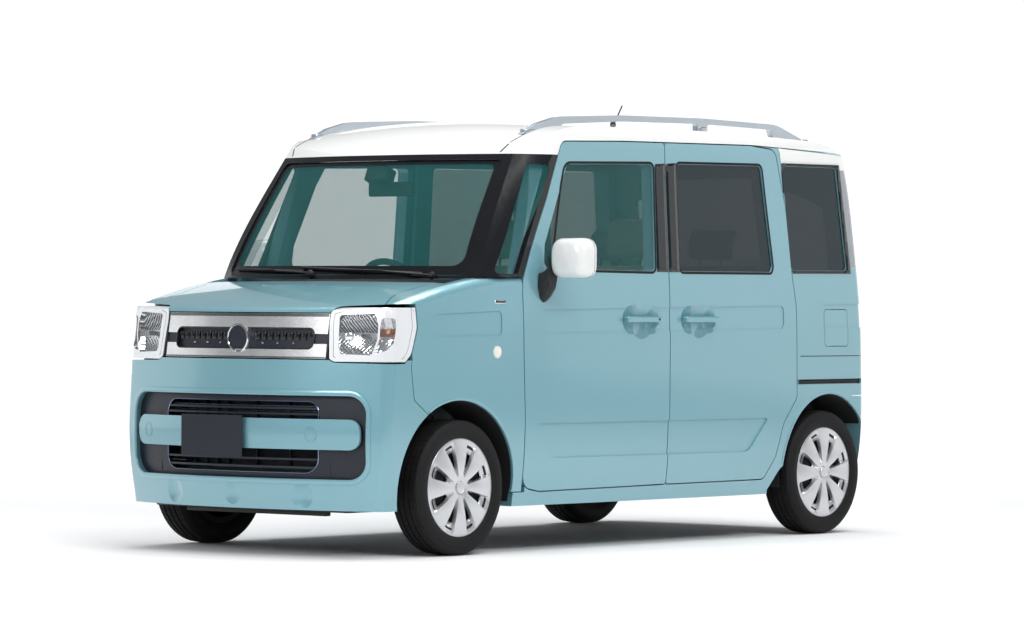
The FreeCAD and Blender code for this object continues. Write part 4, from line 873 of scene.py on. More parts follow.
class Skin:
    """Finds points on the outer surface of CAD nodes."""

    def __init__(self, *nodes: str) -> None:
        """Collect the nodes' faces in one search tree."""
        bm = bmesh.new()
        for node in nodes:
            bm.from_mesh(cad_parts[node].data)
        self.tree = BVHTree.FromBMesh(bm)
        bm.free()

    def hit(self, origin: Vector, direction: Vector) -> Hit | None:
        """First point and outward normal along a ray.

        Args:
            origin: start of the ray.
            direction: direction of the ray.

        Returns:
            The point and normal, or None.
        """
        point, normal, _, _ = self.tree.ray_cast(origin, direction.normalized())
        if point is None:
            return None
        return point, (normal if normal.dot(direction) < 0 else -normal)

    def beside(self, x: float, z: float, side: Side = Side.LEFT) -> Hit | None:
        """Point on the car's side."""
        return self.hit(Vector((x, 1.5 * side.value, z)), Vector((0, -side.value, 0)))

    def ahead(self, y: float, z: float) -> Hit | None:
        """Point on the nose."""
        return self.hit(Vector((3.0, y, z)), Vector((-1, 0, 0)))

    def behind(self, y: float, z: float) -> Hit | None:
        """Point on the tail."""
        return self.hit(Vector((-3.0, y, z)), Vector((1, 0, 0)))

    def above(self, x: float, y: float) -> Hit | None:
        """Point on the top."""
        return self.hit(Vector((x, y, 3.0)), Vector((0, 0, -1)))


def moulding(hits: Sequence[Hit], width: float, proud: float, closed: bool = False,
             sink: float = 0.001) -> BMesh:
    """Low rounded strip that follows points on a surface.

    Args:
        hits: points with outward normals along the strip.
        width: strip width.
        proud: how far it stands out.
        closed: whether it runs round and meets itself.
        sink: how far its foot goes in.

    Returns:
        The mesh.
    """
    count = len(hits)
    rows = []
    for i, (point, normal) in enumerate(hits):
        ahead = hits[(i + 1) % count if closed else min(i + 1, count - 1)][0]
        back = hits[i - 1 if closed or i else 0][0]
        across = normal.cross((ahead - back).normalized()).normalized() * (width / 2)
        rows.append([point - across - normal * sink, point - across * 0.9 + normal * proud * 0.7,
                     point - across * 0.45 + normal * proud, point + across * 0.45 + normal * proud,
                     point + across * 0.9 + normal * proud * 0.7, point + across - normal * sink])
    if closed:
        rows.append(rows[0])
    bm = lofted(rows)
    bmesh.ops.remove_doubles(bm, verts=bm.verts, dist=1e-6)
    return bm


def sampled(outline: Line, spacing: float, closed: bool = True) -> list[Flat]:
    """Outline with extra points so that none lie further apart than a spacing.

    Args:
        outline: the outline.
        spacing: longest step.
        closed: whether the outline meets itself.

    Returns:
        The outline's points.
    """
    points = []
    count = len(outline) if closed else len(outline) - 1
    for i in range(count):
        a, b = Vector(outline[i]), Vector(outline[(i + 1) % len(outline)])
        parts = max(1, math.ceil((b - a).length / spacing))
        points += [tuple(a.lerp(b, k / parts)) for k in range(parts)]
    if not closed:
        points.append(tuple(outline[-1]))
    return points


# -------- sheets on curved faces
NOSE_ROWS: Sequence[Point] = (
    (0.185, 1.658, 1.85), (0.33, 1.675, 1.85), (0.52, 1.681, 1.85), (0.78, 1.650, 2.10), (0.96, 1.617, 2.45),
    (1.13, 1.585, 2.40))


def nose_face(y: float, z: float) -> Hit:
    """Point and outward normal of the bowed nose.

    Args:
        y: distance from the middle.
        z: height.

    Returns:
        The point and its normal.
    """
    rows = NOSE_ROWS
    low, high = next(((a, b) for a, b in zip(rows, rows[1:]) if z <= b[0]), (rows[-2], rows[-1]))
    share = (z - low[0]) / (high[0] - low[0])
    x = low[1] + (high[1] - low[1]) * share
    radius = low[2] + (high[2] - low[2]) * share
    dip = math.sqrt(radius * radius - y * y)
    return Vector((x - radius + dip, y, z)), Vector((dip, y, 0.0)).normalized()


def pierced(outer: Line, holes: Sequence[Line] = (), spacing: float = 0.02) -> BMesh:
    """Flat sheet with holes, cut into a net fine enough to be laid on a curved face.

    Args:
        outer: closed outline.
        holes: closed outlines of the holes.
        spacing: distance between the net's cuts.

    Returns:
        The mesh in the plane of its first two axes.
    """
    bm = bmesh.new()
    for outline in (outer, *holes):
        ring = [bm.verts.new((a, b, 0.0)) for a, b in sampled(outline, spacing)]
        for i, vert in enumerate(ring):
            bm.edges.new((ring[i - 1], vert))
    bmesh.ops.triangle_fill(bm, use_beauty=True, use_dissolve=False, edges=bm.edges[:])
    return netted(bm, spacing)


def netted(bm: BMesh, spacing: float) -> BMesh:
    """Cut a flat sheet along both axes at a spacing.

    Args:
        bm: the sheet.
        spacing: distance between the cuts.

    Returns:
        The sheet.
    """
    for i in (0, 1):
        low = min(v.co[i] for v in bm.verts)
        high = max(v.co[i] for v in bm.verts)
        count = int((high - low) / spacing)
        for k in range(1, count + 1):
            normal = Vector((1.0 - i, float(i), 0.0))
            bmesh.ops.bisect_plane(bm, geom=bm.verts[:] + bm.edges[:] + bm.faces[:], dist=1e-6,
                                   plane_co=normal * (low + (high - low) * k / (count + 1)), plane_no=normal)
    return bm


def laid(bm: BMesh, cast: Callable, lift: float | Callable) -> BMesh:
    """Lay a flat sheet on a face.

    Args:
        bm: the sheet.
        cast: from the sheet's two coordinates to a point and normal.
        lift: height over the face, or a function of the two coordinates and the sheet's third one.

    Returns:
        The mesh.
    """
    lost = []
    for vert in bm.verts:
        a, b, c = vert.co
        hit = cast(a, b)
        if hit is None:
            lost.append(vert)
            continue
        vert.co = hit[0] + hit[1] * (lift(a, b, c) if callable(lift) else lift)
    bmesh.ops.delete(bm, geom=lost, context="VERTS")
    return bm


def pillow(outline: Line, radius: float, spacing: float = 0.02, rings: int = 5) -> BMesh:
    """Flat sheet whose third coordinate falls away round its edge like a rounded bar's.

    Args:
        outline: closed convex outline.
        radius: edge rounding.
        spacing: net of the middle.
        rings: steps of the rounding.

    Returns:
        The mesh; its third coordinate is 0 in the middle and minus the radius at the edge.
    """
    bm = bmesh.new()
    bm.faces.new([bm.verts.new((a, b, -radius)) for a, b in sampled(outline, spacing)])
    before = 0.0
    for k in range(1, rings + 1):
        angle = math.pi / 2 * k / rings
        across = radius * (1.0 - math.cos(angle))
        inner = [f for f in bm.faces if len(f.verts) > 4 or k == 1]
        middle = max(inner, key=lambda f: f.calc_area())
        bmesh.ops.inset_region(bm, faces=[middle], thickness=across - before, use_even_offset=True)
        for vert in middle.verts:
            vert.co.z = -radius + radius * math.sin(angle)
        before = across
    return netted(bm, spacing)


def hooked(bm: BMesh, push: Vector) -> BMesh:
    """Give a sheet a rim by pulling its boundary edges along a vector.

    Args:
        bm: the sheet.
        push: the vector.

    Returns:
        The sheet.
    """
    edges = [e for e in bm.edges if e.is_boundary]
    made = bmesh.ops.extrude_edge_only(bm, edges=edges)["geom"]
    bmesh.ops.translate(bm, vec=push, verts=[v for v in made if isinstance(v, bmesh.types.BMVert)])
    return bm


def plaque(outline: Line, spacing: float, cast: Callable, lift: float, depth: float) -> BMesh:
    """Sheet laid on the nose or tail, with a rim that runs along the car.

    Args:
        outline: closed outline over y and z.
        spacing: distance between the net's cuts.
        cast: from y and z to a point and normal.
        lift: height over the face.
        depth: way that the rim goes along x.

    Returns:
        The mesh.
    """
    return hooked(laid(pierced(outline, (), spacing), cast, lift), Vector((depth, 0, 0)))


# -------- camera and studio
@dataclass
class Studio:
    """Camera at the car's front left, a pale bowl-shaped floor and soft lights."""

    eye: Point = (14.988, 12.476, 1.016)
    yaw: float = -140.3577
    pitch: float = -0.1643
    roll: float = 0.3255
    lens: float = 161.3
    flat_radius: float = 45.0
    rim_radius: float = 22.0
    backdrop_glow: float = 0.75

    def camera(self) -> None:
        """Set the camera."""
        yaw, pitch, roll = (math.radians(a) for a in (self.yaw, self.pitch, self.roll))
        ahead = Vector((math.cos(pitch) * math.cos(yaw), math.cos(pitch) * math.sin(yaw), math.sin(pitch)))
        right = ahead.cross(Vector((0, 0, 1))).normalized()
        up = right.cross(ahead)
        right, up = right * math.cos(roll) + up * math.sin(roll), up * math.cos(roll) - right * math.sin(roll)
        data = bpy.data.cameras.new("camera")
        data.lens = self.lens
        data.clip_end = 400.0
        camera = bpy.data.objects.new("camera", data)
        camera.matrix_world = Matrix.Translation(self.eye) @ Matrix((right, up, -ahead)).transposed().to_4x4()
        bpy.context.scene.collection.objects.link(camera)
        bpy.context.scene.camera = camera

    def floor(self) -> None:
        """Pale floor that rises to a rim far away."""
        bm = bmesh.new()
        profile = [bm.verts.new((r, 0, 0)) for r in (0.001, 6.0, 20.0, self.flat_radius)]
        for i in range(1, 9):
            angle = math.radians(90.0 * i / 8)
            profile.append(bm.verts.new((self.flat_radius + self.rim_radius * math.sin(angle), 0,
                                         self.rim_radius * (1.0 - math.cos(angle)))))
        edges = [bm.edges.new(pair) for pair in zip(profile, profile[1:])]
        bmesh.ops.spin(bm, geom=profile + edges, cent=(0, 0, 0), axis=(0, 0, 1), angle=math.tau, steps=72,
                       use_merge=True)
        bmesh.ops.recalc_face_normals(bm, faces=bm.faces)
        tree = Tree("pale_floor")
        tree.colour(tree.ramp(tree.noise(0.6, 3.0), [(0.3, (0.80, 0.80, 0.805)), (0.7, (0.84, 0.84, 0.845))]))
        tree.set(Roughness=0.8, Specular_IOR_Level=0.1, Emission_Color=(1.0, 1.0, 1.0, 1.0))
        at = tree.axes()
        away = tree.maths("ADD", tree.maths("MULTIPLY", at["X"], -0.769),
                          tree.maths("MULTIPLY", at["Y"], -0.640))
        rise = tree.nodes.new("ShaderNodeMapRange")
        rise.interpolation_type = "SMOOTHSTEP"
        rise.inputs["From Min"].default_value = 2.0
        rise.inputs["From Max"].default_value = 10.0
        rise.inputs["To Max"].default_value = self.backdrop_glow
        tree.links.new(away, rise.inputs["Value"])
        tree.links.new(rise.outputs["Result"], tree.shader.inputs["Emission Strength"])
        floor = new_object("floor", bm, tree.material)
        floor.data.shade_smooth()

    def light(self, name: str, at: Point, size: Flat, power: float) -> None:
        """Soft rectangular light aimed at the car's middle.

        Args:
            name: piece name.
            at: its place.
            size: its width and height.
            power: its power in watts.
        """
        data = bpy.data.lights.new(name, "AREA")
        data.shape = "RECTANGLE"
        data.size, data.size_y = size
        data.energy = power
        lamp = bpy.data.objects.new(name, data)
        lamp.location = at
        lamp.rotation_euler = (Vector((0, 0, 0.8)) - Vector(at)).to_track_quat("-Z", "Y").to_euler()
        bpy.context.scene.collection.objects.link(lamp)

    def build(self) -> None:
        """Camera, floor, lights and sky."""
        self.camera()
        self.floor()
        self.light("key_softbox", (3.5, 8.5, 7.5), (7.0, 3.0), 600.0)
        self.light("front_softbox", (11.0, -1.0, 5.5), (4.0, 4.0), 420.0)
        self.light("top_softbox", (-1.0, 0.0, 8.0), (9.0, 5.0), 760.0)
        world = bpy.data.worlds.new("studio_sky")
        world.use_nodes = True
        sky = world.node_tree.nodes["Background"]
        sky.inputs["Color"].default_value = (0.95, 0.97, 1.0, 1.0)
        sky.inputs["Strength"].default_value = 0.22
        bpy.context.scene.world = world
        bpy.context.scene.view_settings.view_transform = "Standard"


# -------- wheels
@dataclass
class Tyre:
    """Road tyre: tread blocks between grooves, sidewall mouldings and a bead, in metres."""

    radius: float = 0.270
    half_width: float = 0.0775
    bead: float = 0.178
    tread_depth: float = 0.006
    pitches: int = 64
    grooves: Sequence[float] = (-0.027, 0.0, 0.027)
    groove_half: float = 0.0038
    tread_half: float = 0.0592
    block_gap: float = 0.0011

    def sidewall(self, sign: float) -> list[Flat]:
        """Outline of one sidewall from the tread's edge to the bead.

        Args:
            sign: 1 or -1, the way along the axle.

        Returns:
            The outline's points.
        """
        shape = [(0.0600, self.radius - 0.0052), (0.0675, self.radius - 0.0110), (0.0712, self.radius - 0.0170),
                 (0.0722, self.radius - 0.0172), (0.0752, 0.2420), (0.0760, 0.2380), (0.0768, 0.2376),
                 (self.half_width - 0.0004, 0.2270), (0.0762, 0.2160), (0.0748, 0.2120), (0.0741, 0.2121),
                 (0.0720, 0.2060), (0.0676, 0.1990), (0.0660, 0.1984), (0.0618, 0.1900), (0.0590, 0.1850),
                 (0.0572, self.bead)]
        return [(sign * along, r) for along, r in shape]

    def build(self, hub: Vector, node: str, body: str) -> Object:
        """Make one tyre.

        Args:
            hub: centre of the wheel.
            node: the CAD node that it stands for.
            body: the wheel's body.

        Returns:
            The piece.
        """
        floor = self.radius - self.tread_depth
        tread = [-self.tread_half]
        for groove in self.grooves:
            tread += [groove - self.groove_half, groove + self.groove_half]
        tread.append(self.tread_half)
        across = []
        for low, high in zip(tread, tread[1:]):
            across.append(low)
            if high - low > 0.012:
                across.append((low + high) / 2)
        across.append(tread[-1])
        outline = list(reversed(self.sidewall(-1.0))) + [(a, floor) for a in across] + self.sidewall(1.0)
        bm = spun(outline, hub, (0, 1, 0), (0, 0, 1), self.pitches)
        bmesh.ops.recalc_face_normals(bm, faces=bm.faces)
        ribs = []
        for face in bm.faces:
            middle = face.calc_center_median() - hub
            inside = abs(middle.y) < self.tread_half and math.hypot(middle.x, middle.z) < self.radius - 0.004
            groove = any(abs(middle.y - g) < self.groove_half for g in self.grooves)
            if inside and not groove:
                ribs.append(face)
        bmesh.ops.inset_individual(bm, faces=ribs, thickness=self.block_gap, depth=0.0)
        raised = bmesh.ops.extrude_discrete_faces(bm, faces=ribs)["faces"]
        for face in raised:
            for vert in face.verts:
                spoke = Vector((vert.co.x - hub.x, 0.0, vert.co.z - hub.z))
                crown = 0.0010 * ((vert.co.y - hub.y) / self.tread_half) ** 2
                reach = self.radius - crown * 3.0
                vert.co.x, vert.co.z = hub.x + spoke.x / spoke.length * reach, hub.z + spoke.z / spoke.length * reach
        tyre = piece(node + "_dressed", bm, Finish.RUBBER, body, "tyre_rubber", crease=28.0, normals=False)
        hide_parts(node)
        return tyre


@dataclass
class WheelCover:
    """Full-size wheel cover with flared petal spokes between dark slots, in metres."""

    spokes: int = 8
    per_spoke: int = 20
    wall: float = 0.0026
    rings: Sequence[float] = (0.024, 0.030, 0.034, 0.046, 0.060, 0.074, 0.088, 0.102, 0.116, 0.130, 0.144, 0.157,
                              0.168, 0.179, 0.188, 0.1925, 0.197)
    slot_start: float = 0.074
    slot_end: float = 0.150
    pocket: float = 0.019

    def dome(self, r: float) -> float:
        """Outward offset of the petals' crest from the wheel's middle plane."""
        if r > 0.190:
            return 0.0665 - 0.25 * (r - 0.190)
        return 0.0672 + 0.0065 * math.sin(math.pi * min(1.0, (r - 0.024) / 0.166)) if r > 0.03 else 0.0672

    def petal_half(self, r: float) -> float:
        """Half angle of a petal at a radius."""
        width = 0.0128 + 0.0305 * max(0.0, (r - 0.050) / 0.140) ** 0.95
        return min(width / r, math.pi / self.spokes * 0.86)

    def place(self, r: float, share: float) -> tuple[float, float]:
        """Angle and outward offset of a point of one sector.

        Args:
            r: radius.
            share: place across the sector from -1 to 1; the petal fills the middle half.

        Returns:
            Angle from the sector's middle, and offset.
        """
        half = self.petal_half(r)
        sector = math.pi / self.spokes
        bold = min(1.0, max(0.0, (r - 0.045) / 0.02)) * min(1.0, max(0.0, (0.194 - r) / 0.012))
        if abs(share) <= 0.5:
            angle = share / 0.5 * half
            crown = 0.0012 * (share / 0.5) ** 2
            return angle, self.dome(r) - crown * bold
        t = (abs(share) - 0.5) / 0.5
        angle = half + t * (sector - half)
        rise = max(0.0, (0.189 - r) / (0.189 - self.slot_end))
        drop = self.pocket if r < self.slot_end else self.pocket * rise
        fall = min(1.0, t / 0.24)
        return math.copysign(angle, share), self.dome(r) - (0.0012 + drop * fall) * bold

    def build(self, hub: Vector, side: Side, node: str, body: str) -> None:
        """Make one cover with its hub cap.

        Args:
            hub: centre of the wheel.
            side: side of the car.
            node: the CAD node that it stands for.
            body: the wheel's body.
        """
        steps = self.spokes * self.per_spoke
        bm = bmesh.new()
        line = [bm.verts.new((r, 0, 0)) for r in self.rings]
        edges = [bm.edges.new(pair) for pair in zip(line, line[1:])]
        bmesh.ops.spin(bm, geom=line + edges, cent=(0, 0, 0), axis=(0, 1, 0), angle=math.tau, steps=steps,
                       use_merge=True)
        holes = []
        for face in bm.faces:
            middle = face.calc_center_median()
            r = math.hypot(middle.x, middle.z)
            share = self.share_at(math.atan2(middle.z, middle.x))
            nook = 0.45 * max(0.0, (self.slot_start + 0.016 - r) / 0.016) ** 2
            if self.slot_start < r < self.slot_end and abs(share) > 0.60 + nook:
                holes.append(face)
        bmesh.ops.delete(bm, geom=holes, context="FACES")
        for vert in bm.verts:
            r = math.hypot(vert.co.x, vert.co.z)
            turn = math.atan2(vert.co.z, vert.co.x)
            share = self.share_at(turn)
            angle, offset = self.place(r, share)
            sector = math.tau / self.spokes
            centre = round(turn / sector) * sector
            if abs(abs(share) - 1.0) < 1e-4:
                angle = math.copysign(math.pi / self.spokes, share)
            total = centre + angle + math.pi / 2
            vert.co = (hub.x + r * math.cos(total), hub.y + side.value * offset, hub.z + r * math.sin(total))
        cover = piece(node + "_dressed", bm, Finish.COVER, body, "cover_paint", crease=24.0)
        solidify(cover, self.wall)
        self.orient(cover, side)
        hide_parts(node)
        cap = [(0.0600, 0.0), (0.0600, 0.0245), (0.0700, 0.0245), (0.0716, 0.0232), (0.0716, 0.0215),
               (0.0706, 0.0205), (0.0712, 0.0120), (0.0716, 0.0)]
        bm = spun([(along * side.value, r) for along, r in cap], hub, (0, 1, 0), (0, 0, 1), 40)
        piece(node + "_cap", bm, Finish.COVER, body, "cover_paint", crease=30.0)
        lip = [(0.0592, 0.1945), (0.0600, 0.1980), (0.0630, 0.1985), (0.0650, 0.1968), (0.0640, 0.1940)]
        bm = spun([(along * side.value, r) for along, r in lip], hub, (0, 1, 0), (0, 0, 1), 96, closed=True)
        piece(node + "_lip", bm, Finish.COVER, body, "cover_paint")

    def share_at(self, turn: float) -> float:
        """Place across its sector, from -1 to 1, of an angle."""
        sector = math.tau / self.spokes
        offset = turn - round(turn / sector) * sector
        return max(-1.0, min(1.0, offset / (sector / 2)))

    def orient(self, cover: Object, side: Side) -> None:
        """Turn the sheet's faces outwards from the car."""
        bm = bmesh.new()
        bm.from_mesh(cover.data)
        bm.faces.ensure_lookup_table()
        lean = sum(face.normal.y * face.calc_area() for face in bm.faces)
        if lean * side.value < 0:
            bmesh.ops.reverse_faces(bm, faces=bm.faces)
        bm.to_mesh(cover.data)
        bm.free()


@dataclass
class Wheels:
    """The four road wheels."""

    tyre: Tyre = field(default_factory=Tyre)
    cover: WheelCover = field(default_factory=WheelCover)

    def build(self) -> None:
        """Make the tyres and covers of every wheel."""
        for axle in ("front", "rear"):
            for side in Side:
                low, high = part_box(f"tyre_{axle}_{side.word}")
                hub = (Vector(low) + Vector(high)) / 2
                body = f"road_wheel_{axle}_{side.word}"
                self.tyre.build(hub, f"tyre_{axle}_{side.word}", body)
                self.cover.build(hub, side, f"wheel_cover_{axle}_{side.word}", body)


# -------- headlamps
@dataclass
class Headlamp:
    """Headlamp with bezel, two chambers, bulb caps and a clear lens; sizes in metres from its inner lower corner."""

    lean: float = 39.8
    inner_edge: float = -0.664
    width: float = 0.3195
    base: float = 0.766
    main: Corners = (
        (0.027, 0.034, 0.016), (0.156, 0.030, 0.010), (0.180, 0.092, 0.05), (0.184, 0.146, 0.03),
        (0.172, 0.193, 0.010), (0.030, 0.187, 0.014), (0.026, 0.100, 0.08))
    signal: Corners = (
        (0.168, 0.036, 0.004), (0.214, 0.048, 0.02), (0.244, 0.078, 0.02), (0.252, 0.130, 0.04), (0.250, 0.174, 0.010),
        (0.196, 0.178, 0.016), (0.190, 0.140, 0.03), (0.189, 0.096, 0.04))
    bezel_depth: float = 0.004
    wall_depth: float = 0.024
    bowl: float = 0.026

    def __post_init__(self) -> None:
        """Set the axes of the lamp's own plane."""
        turn = math.radians(self.lean)
        self.out = Vector((math.cos(turn), math.sin(turn), 0.0))
        self.along = Vector((-math.sin(turn), math.cos(turn), 0.0))
        self.skin = Skin("headlamps")

    def cast(self, a: float, b: float) -> Hit | None:
        """Point of the lens face, with the lamp's outward direction as its normal."""
        start = self.out * 4.0 + self.along * (self.inner_edge + a) + Vector((0, 0, self.base + b))
        hit = self.skin.hit(start, -self.out)
        return (hit[0], self.out) if hit and hit[0].y > 0.3 and hit[0].x > 1.2 else None

    def outline(self, rows: int = 26, top: float = 0.217) -> list[Flat]:
        """Edge of the lens, found on the solid.

        Args:
            rows: number of heights tried.
            top: height of the last one.

        Returns:
            The edge's points.
        """
        left, right = [], []
        for k in range(rows + 1):
            b = 0.004 + (top - 0.004) * (0.5 - 0.5 * math.cos(math.pi * k / rows))
            hits = [i * 0.001 - 0.012 for i in range(350) if self.cast(i * 0.001 - 0.012, b)]
            if hits:
                left.append((min(hits) + 0.001, b))
                right.append((max(hits) - 0.001, b))
        return right + left[::-1]

    def chamber(self, corners: Corners, centre: Flat, reach: float) -> BMesh:
        """Wall and bowl of one chamber.

        Args:
            corners: outline with corner radii.
            centre: deepest point.
            reach: half width of the bowl.

        Returns:
            The mesh.
        """
        sheet = pierced(rounded(corners, 4), spacing=0.0045)

        def lift(a: float, b: float, _: float) -> float:
            """Depth of the chamber behind the lens."""
            off = math.hypot(a - centre[0], (b - centre[1]) * 1.15) / reach
            flute = 0.0016 * abs(((a * 70.0 + b * 22.0) % 1.0) * 2.0 - 1.0) if b > centre[1] else \
                0.0014 * abs(((a * 60.0 - b * 60.0) % 1.0) * 2.0 - 1.0)
            return -(self.wall_depth + self.bowl * max(0.0, 1.0 - off * off) - flute)

        sheet = laid(sheet, self.cast, lift)
        return hooked(sheet, self.out * (self.wall_depth - self.bezel_depth))

    def build(self) -> None:
        """Make both lamps."""
        edge = self.outline()
        holes = [rounded(self.main, 4), rounded(self.signal, 4)]
        for side in Side:
            tag = side.word
            bm = laid(pierced(edge, holes, 0.012), self.cast, -self.bezel_depth)
            bezel = piece(f"headlamp_bezel_{tag}", mirrored(bm, side), Finish.BEZEL, slot="bright_trim")
            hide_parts("headlamps")
            main = self.chamber(self.main, (0.104, 0.108), 0.10)
            piece(f"headlamp_reflector_{tag}", mirrored(main, side), Finish.FLUTES, slot="bright_trim")
            signal = self.chamber(self.signal, (0.222, 0.118), 0.085)
            piece(f"headlamp_signal_{tag}", mirrored(signal, side), Finish.SIGNAL, slot="bright_trim")
            self.bulbs(side)
            inner = self.ring(edge, 0.0165)
            piece(f"headlamp_line_{tag}", mirrored(inner, side), Finish.COVER_DARK)
            shell = hooked(laid(pierced(edge, (), 0.012), self.cast, -0.0006), -self.out * 0.020)
            piece(f"headlamp_lens_{tag}", mirrored(shell, side), Finish.CLEAR_LENS, slot="lamp_lens", crease=50.0)
            housing = hooked(laid(pierced(edge, (), 0.03), self.cast, -0.058), self.out * 0.050)
            piece(f"headlamp_housing_{tag}", mirrored(housing, side), Finish.BLACK)

    def ring(self, edge: Line, inset: float) -> BMesh:
        """Fine dark line that follows the lamp's edge on the bezel.

        Args:
            edge: the lamp's edge.
            inset: distance from the edge.

        Returns:
            The mesh.
        """
        middle = (self.width / 2, 0.108)
        points = []
        for i, (a, b) in enumerate(edge):
            ahead, back = Vector(edge[(i + 1) % len(edge)]), Vector(edge[i - 1])
            run = (ahead - back).normalized()
            inward = Vector((-run.y, run.x))
            if inward.dot(Vector(middle) - Vector((a, b))) < 0:
                inward = -inward
            spot = Vector((a, b)) + inward * inset
            hit = self.cast(spot.x, spot.y)
            if hit:
                points.append((hit[0] - self.out * self.bezel_depth, self.out))
        return moulding(points, 0.0022, 0.0004, closed=True)

    def bulbs(self, side: Side) -> None:
        """Bulb caps and the bright cone behind the main one.

        Args:
            side: side of the car.
        """
        for name, at, radius, length, finish in (
                ("cone", (0.066, 0.104), 0.017, 0.022, Finish.REFLECTOR),
                ("cap", (0.124, 0.106), 0.0095, 0.034, Finish.GLOSS_BLACK),
                ("signal_bulb", (0.222, 0.122), 0.009, 0.026, Finish.AMBER_BULB)):
            hit = self.cast(*at)
            root = hit[0] - self.out * (self.wall_depth + self.bowl)
            outline = [(0.0, 0.0), (0.0, radius * 0.7), (length * 0.25, radius), (length * 0.8, radius * 0.96),
                       (length * 0.95, radius * 0.7), (length, 0.0)]
            bm = spun(outline, root, self.out, self.along, 28)
            piece(f"headlamp_{name}_{side.word}", mirrored(bm, side), finish, slot="lamp_lens")


# -------- grilles, bar and plate
@dataclass
class UpperGrille:
    """Bright band between the lamps with its dark slot and a bare round badge, in metres."""

    slot_half: float = 0.371
    slot_low: float = 0.820
    slot_high: float = 0.898
    set_back: float = 0.0165
    badge_z: float = 0.859
    badge_r: float = 0.058
    studs: Sequence[float] = (0.115, 0.192, 0.270)

    def build(self) -> None:
        """Make the band's fittings."""
        half = self.slot_half + 0.002
        corners = oblong(half, -half, self.slot_low - 0.002, self.slot_high + 0.002, 0.026)
        bm = laid(pierced(rounded(corners, 6), spacing=0.03), nose_face, -self.set_back - 0.006)
        bm = hooked(bm, Vector((0.014, 0, 0)))
        piece("grille_slot", bm, Finish.NAVY)
        hits = followed(nose_face, sampled(rounded(corners, 6), 0.03), -0.008)
        piece("grille_slot_rim", moulding(hits, 0.005, 0.0022, closed=True), Finish.GLOSS_BLACK)
        studs = []
        for sign in (1.0, -1.0):
            for y in self.studs:
                point, normal = nose_face(sign * y, self.slot_low + 0.020)
                studs.append(spun([(0.0, 0.0052), (0.0030, 0.0045), (0.0048, 0.0026), (0.0055, 0.0)],
                                  point - normal * (self.set_back + 0.004), normal, (0, 0, 1), 20))
        piece("grille_studs", joined(*studs), Finish.SLAT, slot="bright_trim")
        squares = []
        for sign in (1.0, -1.0):
            for k in range(9):
                y = sign * (0.086 + 0.033 * k)
                x = nose_face(y, 0.866)[0].x - self.set_back
                squares.append(block((x - 0.008, y - 0.0115, 0.852), (x + 0.0005, y + 0.0115, 0.884), 0.004))
        piece("grille_cells", joined(*squares), Finish.GLOSS_BLACK)
        for sign, tag in ((1.0, "left"), (-1.0, "right")):
            outline = [(sign * 0.366, 0.839), (sign * 0.440, 0.841), (sign * 0.440, 0.876), (sign * 0.366, 0.878)]
            piece(f"grille_link_{tag}", plaque(outline, 0.02, nose_face, -0.012, -0.012), Finish.NAVY)
            outline = [(sign * y, z) for y, z in ((0.4335, 0.779), (0.4405, 0.779), (0.4405, 0.9585), (0.4335, 0.9585))]
            piece(f"grille_infill_{tag}", plaque(outline, 0.02, nose_face, -0.010, -0.030), Finish.GLOSS_BLACK)
        for tag, low, high, lift in (("top", 0.9455, 0.9575, -0.0068), ("foot", 0.7820, 0.7880, -0.0070)):
            outline = [(-0.4305, low), (0.4305, low), (0.4305, high), (-0.4305, high)]
            piece(f"grille_band_{tag}", plaque(outline, 0.03, nose_face, lift, -0.006), Finish.BAND_DARK,
                  slot="bright_trim")
        self.badge()

    def badge(self) -> None:
        """Bare badge: bright ring round a dark dished disc."""
        face = Skin("grille_upper").ahead(0.0, self.badge_z)[0].x + 0.0035
        outline = [(along, self.badge_r - inset) for along, inset in (
            (0.000, 0.0005), (0.0055, 0.001), (0.0085, 0.004), (0.0085, 0.0065), (0.0060, 0.0085), (0.0010, 0.0088))]
        ring = spun(outline, (face - 0.004, 0.0, self.badge_z), (1, 0, 0), (0, 0, 1), 64)
        piece("badge_ring", ring, Finish.CHROME, slot="bright_trim")
        edge = self.badge_r - 0.0090
        disc = spun([(0.0028, 0.0), (0.0026, 0.015), (0.0020, 0.030), (0.0010, edge), (-0.004, edge)],
                    (face - 0.003, 0.0, self.badge_z), (1, 0, 0), (0, 0, 1), 64)
        piece("badge_disc", disc, Finish.NAVY)


